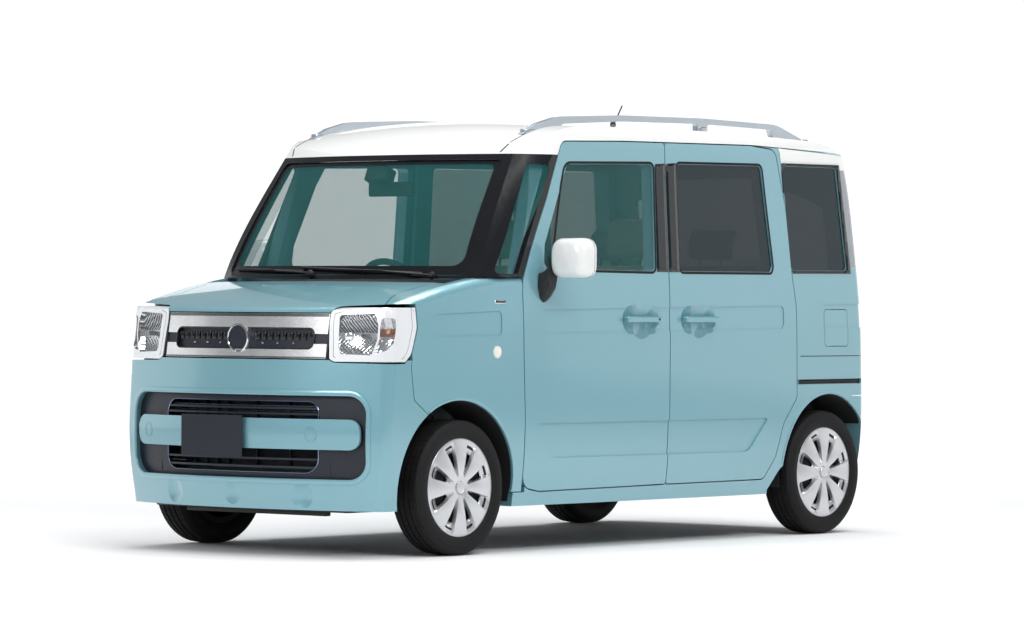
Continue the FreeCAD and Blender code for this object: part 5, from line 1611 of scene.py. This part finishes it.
@dataclass
class LowerGrille:
    """Big bumper opening: rolled rim, dark side panels, slats, radiator, painted bar and blank plate, in metres."""

    rim: Corners = tuple(oblong(0.634, -0.634, 0.297, 0.646, 0.086))
    inner: Corners = ((0.413, 0.330, 0.06), (0.413, 0.612, 0.05), (-0.413, 0.612, 0.05), (-0.413, 0.330, 0.06))
    bar: Corners = tuple(oblong(0.598, -0.598, 0.424, 0.544, 0.045))
    slats: Sequence[tuple[float, float, float, float]] = (
        (-0.400, 0.400, 0.592, 0.0036), (-0.408, 0.408, 0.572, 0.0022), (-0.404, -0.300, 0.366, 0.0030),
        (0.02, 0.30, 0.352, 0.0028))
    plate_y: float = -0.085
    plate_z: float = 0.471
    radiator_x: float = 1.535

    def build(self) -> None:
        """Make the opening's pieces."""
        skin = Skin("bumper_front")
        hits = []
        for y, z in sampled(rounded(self.rim, 10), 0.02):
            hit = skin.ahead(y, z)
            point, normal = hit if hit and hit[0].x > 1.5 else nose_face(y, z)
            hits.append((point, normal))
        piece("bumper_rim", moulding(hits, 0.022, 0.0042, closed=True, sink=0.003), Finish.BODY, slot="body_paint")
        hits = followed(nose_face, sampled(rounded(self.inner, 8), 0.02), -0.026)
        piece("grille_frame_line", moulding(hits, 0.0055, 0.0045, closed=True), Finish.FRAME_BLUE, slot="bright_trim")
        grooves = []
        for sign in (1.0, -1.0):
            line = [(sign * 0.462, 0.322 + 0.030 * k) for k in range(9)]
            grooves.append(moulding(followed(nose_face, line, -0.0255), 0.006, 0.003))
        piece("grille_side_ribs", joined(*grooves), Finish.NAVY)
        lines = [rod(traced(nose_face, (y0, z), (y1 - y0, 0.0), 14, -0.034), radius, 8, 0.7)
                 for y0, y1, z, radius in self.slats]
        piece("grille_slats", joined(*lines), Finish.SLAT, slot="bright_trim")
        self.radiator()
        self.painted_bar()
        self.plate()

    def radiator(self) -> None:
        """Radiator with its fin blocks behind the opening."""
        front = self.radiator_x
        core = block((front - 0.018, -0.405, 0.350), (front, 0.405, 0.612), 0.003)
        piece("radiator_core", core, Finish.RADIATOR)
        posts = []
        for y in (-0.375, -0.315, -0.255, -0.195, -0.135, 0.02, 0.20, 0.36):
            posts.append(block((front, y - 0.004, 0.352), (front + 0.012, y + 0.004, 0.610), 0.0015))
        posts.append(block((front, -0.40, 0.574), (front + 0.010, 0.40, 0.579), 0.001))
        piece("radiator_posts", joined(*posts), Finish.NAVY)

    def painted_bar(self) -> None:
        """Rounded body-coloured bar across the opening with two round tow covers."""
        def lift(_: float, b: float, c: float) -> float:
            """Height of the bar's face, lower over its crease."""
            crease = 0.0022 if b > 0.512 else 0.0
            return c - 0.0004 - crease

        bm = hooked(laid(pillow(rounded(self.bar, 8), 0.017, 0.03), nose_face, lift), Vector((-0.010, 0, 0)))
        bar = piece("bumper_bar_dressed", bm, Finish.BODY, slot="body_paint", crease=50.0)
        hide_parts("bumper_bar")
        for tag, y in (("left", 0.392), ("right", -0.520)):
            point, normal = nose_face(y, 0.484)
            ring = spun([(0.0, 0.0300), (0.0016, 0.0295), (0.0016, 0.0282), (0.0, 0.0276)],
                        point - normal * 0.0012, normal, (0, 0, 1), 40)
            corners = oblong(y + 0.019, y - 0.019, 0.484 - 0.019, 0.484 + 0.019, 0.004)
            square = moulding(followed(nose_face, rounded(corners, 3), -0.0008), 0.002, 0.0014, closed=True)
            piece(f"tow_cover_{tag}", joined(ring, square), Finish.BODY, slot="body_paint")

    def plate(self) -> None:
        """Two fasteners of the blank plate."""
        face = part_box("plate_front")[1][0] - 0.0004
        bolts = [spun([(0.0, 0.0075), (0.0022, 0.0072), (0.0038, 0.0050), (0.0040, 0.0)],
                      (face - 0.0036, self.plate_y + side * 0.105, self.plate_z + 0.050), (1, 0, 0), (0, 0, 1), 24)
                 for side in (-1.0, 1.0)]
        piece("plate_bolts", joined(*bolts), Finish.NAVY)


# -------- body sides
def grown(outline: Corners, by: float) -> list[Corner]:
    """Corners of an outline moved away from its middle, with rounder corners."""
    a = sum(corner[0] for corner in outline) / len(outline)
    b = sum(corner[1] for corner in outline) / len(outline)
    return [(c[0] + math.copysign(by, c[0] - a), c[1] + math.copysign(by, c[1] - b), c[2] + by) for c in outline]


@dataclass
class BodySide:
    """Black masks, white corners, seals, arch liners and small fittings of both sides, in metres."""

    front_window: Corners = ((0.436, 1.571, 0.04), (-0.135, 1.585, 0.02), (-0.125, 1.139, 0.02), (0.585, 1.145, 0.03))
    slide_window: Corners = (
        (-0.300, 1.590, 0.02), (-0.902, 1.597, 0.025), (-0.962, 1.166, 0.03),
        (-0.945, 1.142, 0.01), (-0.300, 1.140, 0.02))
    quarter_window: Corners = ((-1.062, 1.601, 0.025), (-1.474, 1.603, 0.02), (-1.532, 1.152, 0.02),
                               (-1.107, 1.149, 0.02))
    mask: Line = ((-1.0545, 1.613), (-1.4985, 1.616), (-1.504, 1.590), (-1.5605, 1.164), (-1.562, 1.139),
                  (-1.1135, 1.136), (-1.083, 1.416))
    white_corner: Line = ((-1.0505, 1.615), (-1.497, 1.618), (-1.500, 1.594), (-1.622, 1.594), (-1.618, 1.655),
                          (-1.085, 1.6755), (-1.040, 1.6775))
    ditch: Line = ((0.545, 0.587), (0.590, 0.590), (0.623, 0.590), (0.655, 0.588), (0.6685, 0.586), (0.688, 0.574),
                   (0.706, 0.563))
    seam: Line = ((-1.110, 0.778), (-1.635, 0.778))
    groove: Line = ((-1.146, 0.6575), (-1.146, 0.6755), (-1.634, 0.6755), (-1.634, 0.6575))
    pillar_front: Line = ((-0.2165, 1.136), (-0.139, 1.136), (-0.149, 1.586), (-0.2165, 1.590))
    pillar_rear: Line = ((-0.2230, 1.136), (-0.2930, 1.136), (-0.2930, 1.594), (-0.2230, 1.590))
    arches: Sequence[Point] = ((1.120, 0.276, 0.340), (-1.385, 0.280, 0.332))

    def build(self) -> None:
        """Make the pieces of both sides."""
        for side in Side:
            self.side(side)

    def cast_on(self, side: Side, *nodes: str) -> Callable:
        """Function from x and z to the point on the side's surface.

        Args:
            side: side of the car.
            nodes: names of the CAD nodes.

        Returns:
            The function.
        """
        skin = Skin(*nodes)

        def cast(x: float, z: float) -> Hit | None:
            """Point of the outer skin, not of what lies inside."""
            hit = skin.beside(x, z, side)
            return hit if hit and abs(hit[0].y) > 0.60 else None
        return cast

    def cover(self, name: str, outline: Line, holes: Sequence, cast: Callable, finish: Finish,
              body: str = "car_body", slot: str = "black_trim", lift: float = 0.0016) -> None:
        """Thin cover laid on the side.

        Args:
            name: piece name.
            outline: closed outline over x and z.
            holes: outlines of the holes.
            cast: the surface.
            finish: its finish.
            body: body that it rides on.
            slot: record slot.
            lift: height over the surface.
        """
        bm = laid(pierced(outline, holes, 0.018), cast, lift)
        sheet = piece(name, bm, finish, body, slot, crease=60.0)
        solidify(sheet, 0.0006, 0.0)

    def seal(self, name: str, outline: Corners, cast: Callable,
             body: str = "car_body", width: float = 0.011) -> None:
        """Black rubber round a window.

        Args:
            name: piece name.
            outline: the window's corners.
            cast: the surface.
            body: body that it rides on.
            width: width of the rubber.
        """
        hits = followed(cast, sampled(rounded(grown(outline, width / 2 + 0.001), 5), 0.03))
        piece(name, moulding(hits, width, 0.0016, closed=True), Finish.SEAL, body, "black_trim")

    def side(self, side: Side) -> None:
        """Make one side.

        Args:
            side: side of the car.
        """
        tag = side.word
        door, shell = f"door_{tag}", f"body_side_{tag}"
        on_door = self.cast_on(side, door)
        on_slide = self.cast_on(side, "sliding_doors")
        on_body = self.cast_on(side, shell)
        hole = rounded(grown(self.quarter_window, 0.0035), 5)
        self.cover(f"quarter_mask_{tag}", self.mask, [hole], on_body, Finish.GLOSS_BLACK)
        self.cover(f"white_corner_{tag}", self.white_corner, [], on_body, Finish.WHITE, slot="roof_paint")
        self.cover(f"pillar_front_{tag}", self.pillar_front, [], on_door, Finish.GLOSS_BLACK, f"front_door_{tag}")
        self.cover(f"pillar_rear_{tag}", self.pillar_rear, [], on_slide, Finish.GLOSS_BLACK)
        self.seal(f"door_seal_{tag}", self.front_window, on_door, f"front_door_{tag}")
        self.seal(f"slide_seal_{tag}", self.slide_window, on_slide)
        self.seal(f"quarter_seal_{tag}", self.quarter_window, on_body, width=0.009)
        for place, (x, z, radius) in zip(("front", "rear"), self.arches):
            self.liner(f"arch_liner_{place}_{tag}", x, z, radius, side)
            self.arch_lines(f"arch_crease_{place}_{tag}", x, z, radius, side)
        (x0, z), (x1, _) = self.seam
        hits = followed(on_body, [(x0 + (x1 - x0) * k / 20, z) for k in range(21)])
        piece(f"corner_seam_{tag}", moulding(hits, 0.0035, 0.0010), Finish.SEAL)
        # painted shade: a black sheet laid flat on the panel stands for the shaded slide-rail groove, partly also the
        # dark rail inside it
        self.cover(f"rail_groove_{tag}", self.groove, [], on_body, Finish.BLACK, lift=0.0030)
        roof = Skin("roof")
        ditch = followed(lambda x, y: roof.above(x, side.value * y), sampled(self.ditch, 0.02, closed=False))
        piece(f"roof_ditch_{tag}", moulding(ditch, 0.0060, 0.0012), Finish.SEAL)
        self.small_parts(side, on_door)

    def liner(self, name: str, x: float, z: float, radius: float, side: Side) -> None:
        """Black lining right behind the arch's lip.

        Args:
            name: piece name.
            x: place of the arch's middle along the car.
            z: height of the arch's middle.
            radius: the arch's radius.
            side: side of the car.
        """
        nodes = ("fenders", "bumper_front") if x > 0 else (f"body_side_{side.word}", "bumper_rear", "sliding_doors")
        cast = self.cast_on(side, *nodes)
        rows = []
        last = 192.0 if x > 0 else 145.0
        for k in range(43):
            angle = math.radians(-12.0 + (last + 12.0) * k / 42)
            out = cast(x + math.cos(angle) * (radius + 0.006), z + math.sin(angle) * (radius + 0.006))
            y = abs(out[0].y) if out else 0.700
            inner = radius - 0.0012
            px, pz = x + math.cos(angle) * inner, z + math.sin(angle) * inner
            rows.append([Vector((px, side.value * (y - back), pz)) for back in (0.0090, 0.0100, 0.05, 0.12, 0.22)])
        liner = piece(name, lofted(rows), Finish.LINER, normals=False)
        solidify(liner, 0.0012, 0.0)

    def arch_lines(self, name: str, x: float, z: float, radius: float, side: Side) -> None:
        """Rolled lip round the arch.

        Args:
            name: piece name.
            x: place of the arch's middle along the car.
            z: height of the arch's middle.
            radius: the arch's radius.
            side: side of the car.
        """
        nodes = ("fenders",) if x > 0 else (f"body_side_{side.word}",)
        cast = self.cast_on(side, *nodes)
        angles = [math.radians(-4.0 + 188.0 * k / 60) for k in range(61)]
        reach = radius + 0.0075
        hits = followed(cast, [(x + math.cos(angle) * reach, z + math.sin(angle) * reach) for angle in angles])
        hits = [hit for hit in hits if abs(hit[0].y) > 0.69]
        piece(name, moulding(hits, 0.013, 0.0022), Finish.BODY, slot="body_paint")

    def small_parts(self, side: Side, on_door: Callable) -> None:
        """Repeater lamp, bare bar, lock, mirror and rail pads.

        Args:
            side: side of the car.
            on_door: the door's surface.
        """
        tag = side.word
        on_fender = self.cast_on(side, "fenders")
        spot, normal = on_fender(0.897, 0.807)
        root = spot - normal * 0.001
        lamp = spun([(0.0, 0.0235), (0.0035, 0.0228), (0.0065, 0.0180), (0.0082, 0.0100), (0.0086, 0.0)],
                    root, normal, (0, 0, 1), 36)
        piece(f"repeater_lamp_{tag}", lamp, Finish.REPEATER, slot="lamp_lens")
        foot = spun([(0.0, 0.0265), (0.0018, 0.0258), (0.0022, 0.0236), (0.0010, 0.0230)],
                    root, normal, (0, 0, 1), 36)
        piece(f"repeater_seat_{tag}", foot, Finish.COVER, slot="bright_trim")
        outline = rounded(oblong(0.912, 0.845, 1.0005, 1.0135, 0.004), 4)
        self.cover(f"side_bar_{tag}", outline, [], on_fender, Finish.CHROME, slot="bright_trim")
        inner = rounded(oblong(0.908, 0.849, 1.0035, 1.0105, 0.002), 4)
        self.cover(f"side_bar_field_{tag}", inner, [], on_fender, Finish.NAVY, lift=0.0024)
        y = side.value * 0.7605
        key = spun([(0.0, 0.0058), (0.0012, 0.0054), (0.0014, 0.0)],
                   (-0.118, y - side.value * 0.0008, 0.938), (0, side.value, 0), (0, 0, 1), 20)
        piece(f"door_lock_{tag}", key, Finish.BLACK, f"front_door_{tag}")
        low = [(0.640, 1.125), (0.645, 1.070), (0.632, 1.022), (0.612, 1.004), (0.590, 1.010), (0.576, 1.055),
               (0.572, 1.125)]
        hits = on_door(0.610, 1.060)
        y0 = abs(hits[0].y) if hits else 0.72
        rings = []
        for dy, grow, rise in ((0.0015, 0.0, 0.0), (0.012, -0.004, 0.004), (0.030, -0.012, 0.016),
                               (0.050, -0.018, 0.040)):
            share = 1.0 + grow * 8
            y = side.value * (y0 + dy)
            rings.append([Vector((0.610 + (x - 0.610) * share, y, 1.075 + (z - 1.075) * share + rise))
                          for x, z in rounded([(a, b, 0.008) for a, b in low], 3)])
        piece(f"mirror_foot_{tag}", lofted(rings, closed=True, capped=True), Finish.BLACK, f"front_door_{tag}")
        self.mirror_cap(side)
        self.mirror_glass(side)
        self.rail_feet(side)

    def mirror_cap(self, side: Side) -> None:
        """Mirror housing, crowned towards the front, with a dark parting line.

        Args:
            side: side of the car.
        """
        rings = []
        for x, inset in ((0.5455, 0.006), (0.549, 0.001), (0.556, 0.0), (0.592, 0.0), (0.612, 0.006), (0.626, 0.018),
                         (0.6335, 0.038)):
            y0, y1, z0, z1 = 0.7655 + inset, 0.9545 - inset, 1.1055 + inset * 0.8, 1.2665 - inset * 0.8
            corners = [(y1, z0, 0.045), (y1, z1, 0.048), (y0, z1, 0.048), (y0, z0, 0.045)]
            rings.append([Vector((x, side.value * y, z)) for y, z in rounded(corners, 6)])
        cap = piece(f"mirror_cap_{side.word}", lofted(rings, closed=True, capped=True), Finish.WHITE,
                    f"front_door_{side.word}", "roof_paint")
        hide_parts(f"mirror_{side.word}")
        corners = [(0.9545, 1.1055, 0.045), (0.9545, 1.2665, 0.048), (0.7655, 1.2665, 0.048), (0.7655, 1.1055, 0.045)]
        line = [(Vector((0.5605, side.value * y, z)), Vector((0, side.value * (y - 0.860), z - 1.186)).normalized())
                for y, z in sampled(rounded(corners, 6), 0.02)]
        piece(f"mirror_line_{side.word}", moulding(line, 0.0025, 0.0005, closed=True), Finish.SEAL,
              f"front_door_{side.word}", "black_trim")

    def rail_feet(self, side: Side) -> None:
        """Pads under the roof rail's ends and middle.

        Args:
            side: side of the car.
        """
        roof = Skin("roof")
        parts = []
        for x0, x1, rise in ((0.500, 0.560, 0.0100), (-0.655, -0.605, 0.0160), (-1.395, -1.345, 0.0100)):
            y = side.value * 0.574
            hit = roof.above((x0 + x1) / 2, y)
            if hit:
                parts.append(block((x0, y - 0.019, hit[0].z - 0.012), (x1, y + 0.019, hit[0].z + rise), 0.006, 3))
        piece(f"rail_feet_{side.word}", joined(*parts), Finish.SILVER, slot="rail_metal")

    def mirror_glass(self, side: Side) -> None:
        """Silvered pane on the rear face of the mirror.

        Args:
            side: side of the car.
        """
        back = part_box(f"mirror_{side.word}")[0][0]
        y0, y1 = sorted((side.value * 0.790, side.value * 0.940))
        outline = rounded(oblong(y1, y0, 1.125, 1.252, 0.025), 5)

        def cast(y: float, z: float) -> Hit:
            """Point of the housing's rear face."""
            return Vector((back - 0.0004, y, z)), Vector((-1, 0, 0))

        piece(f"mirror_pane_{side.word}", plaque(outline, 0.03, cast, 0.0, 0.003), Finish.MIRROR,
              f"front_door_{side.word}", "bright_trim")


# -------- screens
@dataclass
class Screens:
    """Wipers, sensor housing, inner mirror and printed borders of the windscreen, in metres."""

    wipers: Sequence[tuple[Flat, Flat, Flat]] = (((0.520, 1.105), (0.300, 1.120), (-0.10, 1.128)),
                                                 ((-0.060, 1.112), (-0.280, 1.122), (-0.56, 1.124)))

    def build(self) -> None:
        """Make the fittings."""
        skin = Skin("front_glass", "windscreen_frame", "cowl", "hood")
        for number, (pivot, elbow, tip) in enumerate(self.wipers):
            lines = []
            start = skin.ahead(*pivot)
            middle = ((elbow[0] + tip[0]) / 2, (elbow[1] + tip[1]) / 2)
            for a, b, radius, lift in ((pivot, elbow, 0.0075, 0.016), (elbow, middle, 0.005, 0.022)):
                points = traced(skin.ahead, a, (b[0] - a[0], b[1] - a[1]), 6, lift)
                lines.append(rod(points, radius, 10, 0.6))
            blade = traced(skin.ahead, (pivot[0] - 0.05, pivot[1] + 0.010),
                           (tip[0] - pivot[0] + 0.02, tip[1] - pivot[1]), 16, 0.009)
            lines.append(rod(blade, 0.0065, 8, 0.9))
            point = start[0] + start[1] * 0.004
            lines.append(spun([(0.0, 0.016), (0.012, 0.015), (0.020, 0.010), (0.022, 0.0)], point, start[1],
                              (0, 1, 0), 24))
            piece(f"wiper_{number + 1}", joined(*lines), Finish.BLACK)
        self.border()
        self.inside()

    def border(self) -> None:
        """Black printed border of the screen."""
        glass = Skin("front_glass")
        outer = rounded([(0.644, 1.114, 0.030), (0.590, 1.583, 0.030),
                         (-0.590, 1.583, 0.030), (-0.644, 1.114, 0.030)], 5)
        inner = rounded([(0.618, 1.150, 0.040), (0.568, 1.566, 0.030),
                         (-0.568, 1.566, 0.030), (-0.618, 1.150, 0.040)], 5)
        sheet = laid(pierced(outer, [inner], 0.03), glass.ahead, 0.0004)
        piece("screen_border", sheet, Finish.GLOSS_BLACK, crease=60.0)

    def inside(self) -> None:
        """Sensor housing and inner mirror."""
        skin = Skin("front_glass")
        point, normal = skin.ahead(0.0, 1.545)
        base = point - normal * 0.010
        box = block((base.x - 0.075, -0.055, 1.505), (base.x - 0.004, 0.055, 1.575), 0.010, 3)
        bmesh.ops.rotate(box, verts=box.verts, cent=tuple(base), matrix=Matrix.Rotation(math.radians(-24.0), 3, "Y"))
        piece("screen_sensor", box, Finish.BLACK)
        at = point + Vector((-0.115, 0.0, -0.075))
        mirror = block((at.x - 0.010, -0.120, at.z - 0.030), (at.x + 0.012, 0.120, at.z + 0.030), 0.009, 3)
        stem = rod([(at.x + 0.004, 0, at.z), (at.x + 0.020, 0, at.z + 0.045), (at.x + 0.050, 0, at.z + 0.070)], 0.008)
        piece("inner_mirror", joined(mirror, stem), Finish.BLACK, slot="cabin_plastic")


# -------- cabin
@dataclass
class Cushion:
    """One padded piece: rounded block, swelled by cloth simulation; sizes in metres."""

    name: str
    size: Point
    centre: Point
    lean: float = 0.0
    fill: float = 0.55
    cap: float = 0.014
    voxel: float = 0.012
    pressure: float = 4.0
    frames: int = 20

    def place(self, bm: BMesh) -> None:
        """Lean the piece and move it to its place."""
        turn = Matrix.Rotation(math.radians(-self.lean), 4, "Y")
        bmesh.ops.transform(bm, matrix=Matrix.Translation(self.centre) @ turn, verts=bm.verts)

    def build(self, finish: Finish) -> Object:
        """Make the cushion.

        Args:
            finish: its cloth.

        Returns:
            The object.
        """
        half = [s / 2 - self.cap * 0.5 for s in self.size]
        bm = block([-h for h in half], half, min(half) * 0.55, 4)
        bmesh.ops.subdivide_edges(bm, edges=[e for e in bm.edges if e.calc_length() > 0.05], cuts=5,
                                  use_grid_fill=True)
        for vert in bm.verts:
            u, v = vert.co.x / half[0], vert.co.y / half[1]
            if self.size[2] < self.size[0]:
                vert.co.z += 0.016 * (1 - u * u) * (v * v) - 0.006
            else:
                w = vert.co.z / half[2]
                vert.co.x += 0.018 * (v * v) * (1 - w * w)
        self.place(bm)
        obj = piece(self.name, bm, finish, slot="seat_fabric", crease=180.0)
        self.swell(obj)
        return obj

    def swell(self, obj: Object) -> None:
        """Inflate the cover by a short cloth simulation and apply it.

        Args:
            obj: the piece.
        """
        mesh = obj.modifiers.new("skin", "REMESH")
        mesh.mode = "VOXEL"
        mesh.voxel_size = self.voxel
        self.apply(obj)
        rest = [v.co.copy() for v in obj.data.vertices]
        cloth = obj.modifiers.new("cloth", "CLOTH")
        cloth.settings.use_pressure = True
        cloth.settings.uniform_pressure_force = self.pressure
        cloth.settings.effector_weights.gravity = 0.0
        cloth.settings.quality = 4
        cloth.collision_settings.use_collision = False
        scene = bpy.context.scene
        for step in range(1, self.frames + 1):
            scene.frame_set(step)
        self.apply(obj)
        scene.frame_set(1)
        for vert, before in zip(obj.data.vertices, rest):
            move = vert.co - before
            if move.length > self.cap:
                vert.co = before + move.normalized() * self.cap
        obj.data.shade_smooth()
        smooth = obj.modifiers.new("smooth", "SUBSURF")
        smooth.levels = 1
        smooth.render_levels = 1

    def apply(self, obj: Object) -> None:
        """Replace the mesh by its evaluated shape and drop the modifiers."""
        depsgraph = bpy.context.evaluated_depsgraph_get()
        depsgraph.update()
        made = bpy.data.meshes.new_from_object(obj.evaluated_get(depsgraph))
        materials = list(obj.data.materials)
        obj.modifiers.clear()
        obj.data = made
        obj.data.materials.clear()
        for material in materials:
            obj.data.materials.append(material)
        obj.data.shade_smooth()


@dataclass
class Seats:
    """Two front seats and a rear bench with headrests, in metres."""

    middle: float = 0.335
    front: Sequence[tuple[str, Point, Point, float]] = (
        ("cushion", (0.51, 0.46, 0.125), (-0.070, 0.0, 0.565), 0.0),
        ("back", (0.110, 0.45, 0.62), (-0.376, 0.0, 0.880), 14.0),
        ("headrest", (0.085, 0.25, 0.185), (-0.481, 0.0, 1.282), 14.0))
    rear: Sequence[tuple[str, Point, Point, float]] = (
        ("cushion", (0.47, 0.545, 0.125), (-0.760, 0.0, 0.585), 0.0),
        ("back", (0.095, 0.545, 0.58), (-1.031, 0.0, 0.905), 14.0),
        ("headrest", (0.075, 0.24, 0.150), (-1.119, 0.0, 1.262), 14.0))

    def build(self) -> None:
        """Make the seats."""
        for row, node, y in (("front", "front_seats", self.middle), ("rear", "rear_seat", 0.280)):
            for word, size, centre, lean in (self.front if row == "front" else self.rear):
                left = Cushion(f"{row}_{word}_left", size, (centre[0], y, centre[2]), lean).build(Finish.CLOTH)
                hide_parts(node)
                bm = bmesh.new()
                bm.from_mesh(left.data)
                right = piece(f"{row}_{word}_right", mirrored(bm, Side.RIGHT), Finish.CLOTH, slot="seat_fabric",
                              crease=180.0)
                for modifier in left.modifiers:
                    copy = right.modifiers.new(modifier.name, modifier.type)
                    copy.levels, copy.render_levels = modifier.levels, modifier.render_levels
        self.frames()

    def frames(self) -> None:
        """Seat bases, headrest posts and seat shells."""
        parts = []
        for sign in (1.0, -1.0):
            y = sign * self.middle
            parts.append(block((-0.250, y - 0.185, 0.228), (0.100, y + 0.185, 0.498), 0.012))
            for off in (-0.055, 0.055):
                parts.append(rod([(-0.452, y + off, 1.165), (-0.474, y + off, 1.250)], 0.006))
                parts.append(rod([(-1.094, sign * 0.280 + off, 1.165), (-1.112, sign * 0.280 + off, 1.235)], 0.006))
        parts.append(block((-0.985, -0.500, 0.508), (-0.885, 0.500, 0.522), 0.006))
        parts.append(block((-0.638, -0.500, 0.228), (-0.592, 0.500, 0.520), 0.008))
        parts.append(block((-0.985, -0.500, 0.508), (-0.560, 0.500, 0.524), 0.006))
        frames = piece("seat_frames", joined(*parts), Finish.BLACK, slot="cabin_plastic")
        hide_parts("front_seats", "rear_seat")


@dataclass
class Dashboard:
    """Instrument hood, blank screen, vents and door trims, in metres."""

    def build(self) -> None:
        """Make the trims."""
        hood = block((0.395, -0.520, 1.045), (0.640, -0.170, 1.115), 0.030, 4)
        piece("instrument_hood", hood, Finish.CABIN, slot="cabin_plastic")
        screen = block((0.425, -0.120, 0.985), (0.450, 0.115, 1.125), 0.010, 3)
        piece("centre_screen", screen, Finish.GLOSS_BLACK)
        vents = []
        for y in (-0.500, -0.150, 0.145, 0.480):
            for k in range(4):
                low, high = 0.905 + k * 0.013, 0.910 + k * 0.013
                vents.append(block((0.398, y - 0.045, low), (0.412, y + 0.045, high), 0.002))
        piece("dash_vents", joined(*vents), Finish.SLAT, slot="bright_trim")
        for side in Side:
            y0, y1 = sorted((side.value * 0.6715, side.value * 0.6325))
            trim = block((-0.160, y0, 0.330), (0.600, y1, 1.118), 0.014, 3)
            y2, y3 = sorted((side.value * 0.640, side.value * 0.585))
            rest = block((-0.120, y2, 0.800), (0.360, y3, 0.850), 0.014, 3)
            piece(f"door_trim_{side.word}", joined(trim, rest), Finish.CABIN_PALE, f"front_door_{side.word}",
                  "cabin_plastic")
            slide = block((-0.930, y0, 0.560), (-0.290, y1, 1.118), 0.014, 3)
            piece(f"slide_trim_{side.word}", slide, Finish.CABIN_PALE, slot="cabin_plastic")


# -------- tail and underside
@dataclass
class Tail:
    """Lamps, bar, blank plate, wiper, reflectors and window seal of the tail, in metres."""

    def build(self) -> None:
        """Make the tail's fittings."""
        lamps = Skin("tail_lamps")
        gate = Skin("tailgate")
        bumper = Skin("bumper_rear")
        for side in Side:
            tag = side.word

            def cast(y: float, z: float, side: Side = side) -> Hit | None:
                """Point of this side's lamp."""
                return lamps.behind(side.value * y, z)

            for name, z0, z1, finish in (("stop", 1.185, 1.385, Finish.RED), ("turn", 1.392, 1.470, Finish.AMBER_LENS),
                                         ("back", 1.477, 1.572, Finish.CLEAR_RIB)):
                outline = rounded([(0.668, z0, 0.008), (0.664, z1, 0.008), (0.632, z1, 0.008), (0.636, z0, 0.008)], 4)
                bm = laid(pierced(outline, (), 0.02), cast, 0.0010)
                piece(f"tail_{name}_{tag}", hooked(bm, Vector((0.0012, 0, 0))), finish, slot="lamp_lens")
            low = rounded(oblong(side.value * 0.60, side.value * 0.48, 0.330, 0.372, 0.012), 4)
            piece(f"rear_reflector_{tag}", plaque(low, 0.03, bumper.behind, 0.003, 0.004), Finish.RED,
                  slot="lamp_lens")
        bar = rounded(oblong(0.29, -0.29, 1.045, 1.095, 0.012), 4)
        sheet = laid(pillow(bar, 0.010, 0.04, 4), gate.behind, lambda a, b, c: c + 0.016)
        piece("tailgate_bar", hooked(sheet, Vector((0.008, 0, 0))), Finish.BAND, "tail_door", "bright_trim")
        plate = rounded(oblong(0.165, -0.165, 0.860, 1.025, 0.008), 4)
        piece("plate_rear", plaque(plate, 0.04, gate.behind, 0.005, 0.004), Finish.NAVY, "tail_door")
        self.wiper()
        stop = rounded(oblong(0.14, -0.14, 1.598, 1.622, 0.008), 4)
        piece("high_stop_lamp", plaque(stop, 0.04, gate.behind, 0.003, 0.003), Finish.RED, "tail_door", "lamp_lens")
        corners = [(0.564, 1.146, 0.044), (0.534, 1.574, 0.044), (-0.534, 1.574, 0.044), (-0.564, 1.146, 0.044)]
        seal = followed(gate.behind, sampled(rounded(corners, 6), 0.03))
        piece("tail_window_seal", moulding(seal, 0.012, 0.0018, closed=True), Finish.SEAL, "tail_door")

    def wiper(self) -> None:
        """Rear wiper on the tailgate glass."""
        glass = Skin("tailgate_glass", "tailgate")
        lines = []
        for radius, lift, ends in ((0.007, 0.014, ((0.0, 1.165), (0.24, 1.180))),
                                   (0.006, 0.007, ((-0.02, 1.190), (0.32, 1.205)))):
            (y0, z0), (y1, z1) = ends
            lines.append(rod(traced(glass.behind, (y0, z0), (y1 - y0, z1 - z0), 8, lift), radius, 10, 0.7))
        hit = glass.behind(0.0, 1.165)
        lines.append(spun([(0.0, 0.020), (0.014, 0.018), (0.020, 0.010), (0.021, 0.0)], hit[0], hit[1], (0, 0, 1), 24))
        piece("rear_wiper", joined(*lines), Finish.BLACK, "tail_door")


@dataclass
class Underside:
    """Front undertray, in metres."""

    def build(self) -> None:
        """Make the tray and its strip."""
        tray = block((1.300, -0.520, 0.176), (1.560, 0.520, 0.190), 0.005)
        strip = block((1.500, -0.380, 0.158), (1.530, 0.380, 0.180), 0.005)
        piece("front_undertray", joined(tray, strip), Finish.BLACK)


# -------- the whole scene
def main() -> None:
    """Build the whole scene."""
    Studio().build()
    dress_nodes()
    Wheels().build()
    Headlamp().build()
    UpperGrille().build()
    LowerGrille().build()
    BodySide().build()
    Screens().build()
    Seats().build()
    Dashboard().build()
    Tail().build()
    Underside().build()
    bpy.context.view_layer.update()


if __name__ == "__main__":
    logging.basicConfig(level=logging.INFO)
    main()
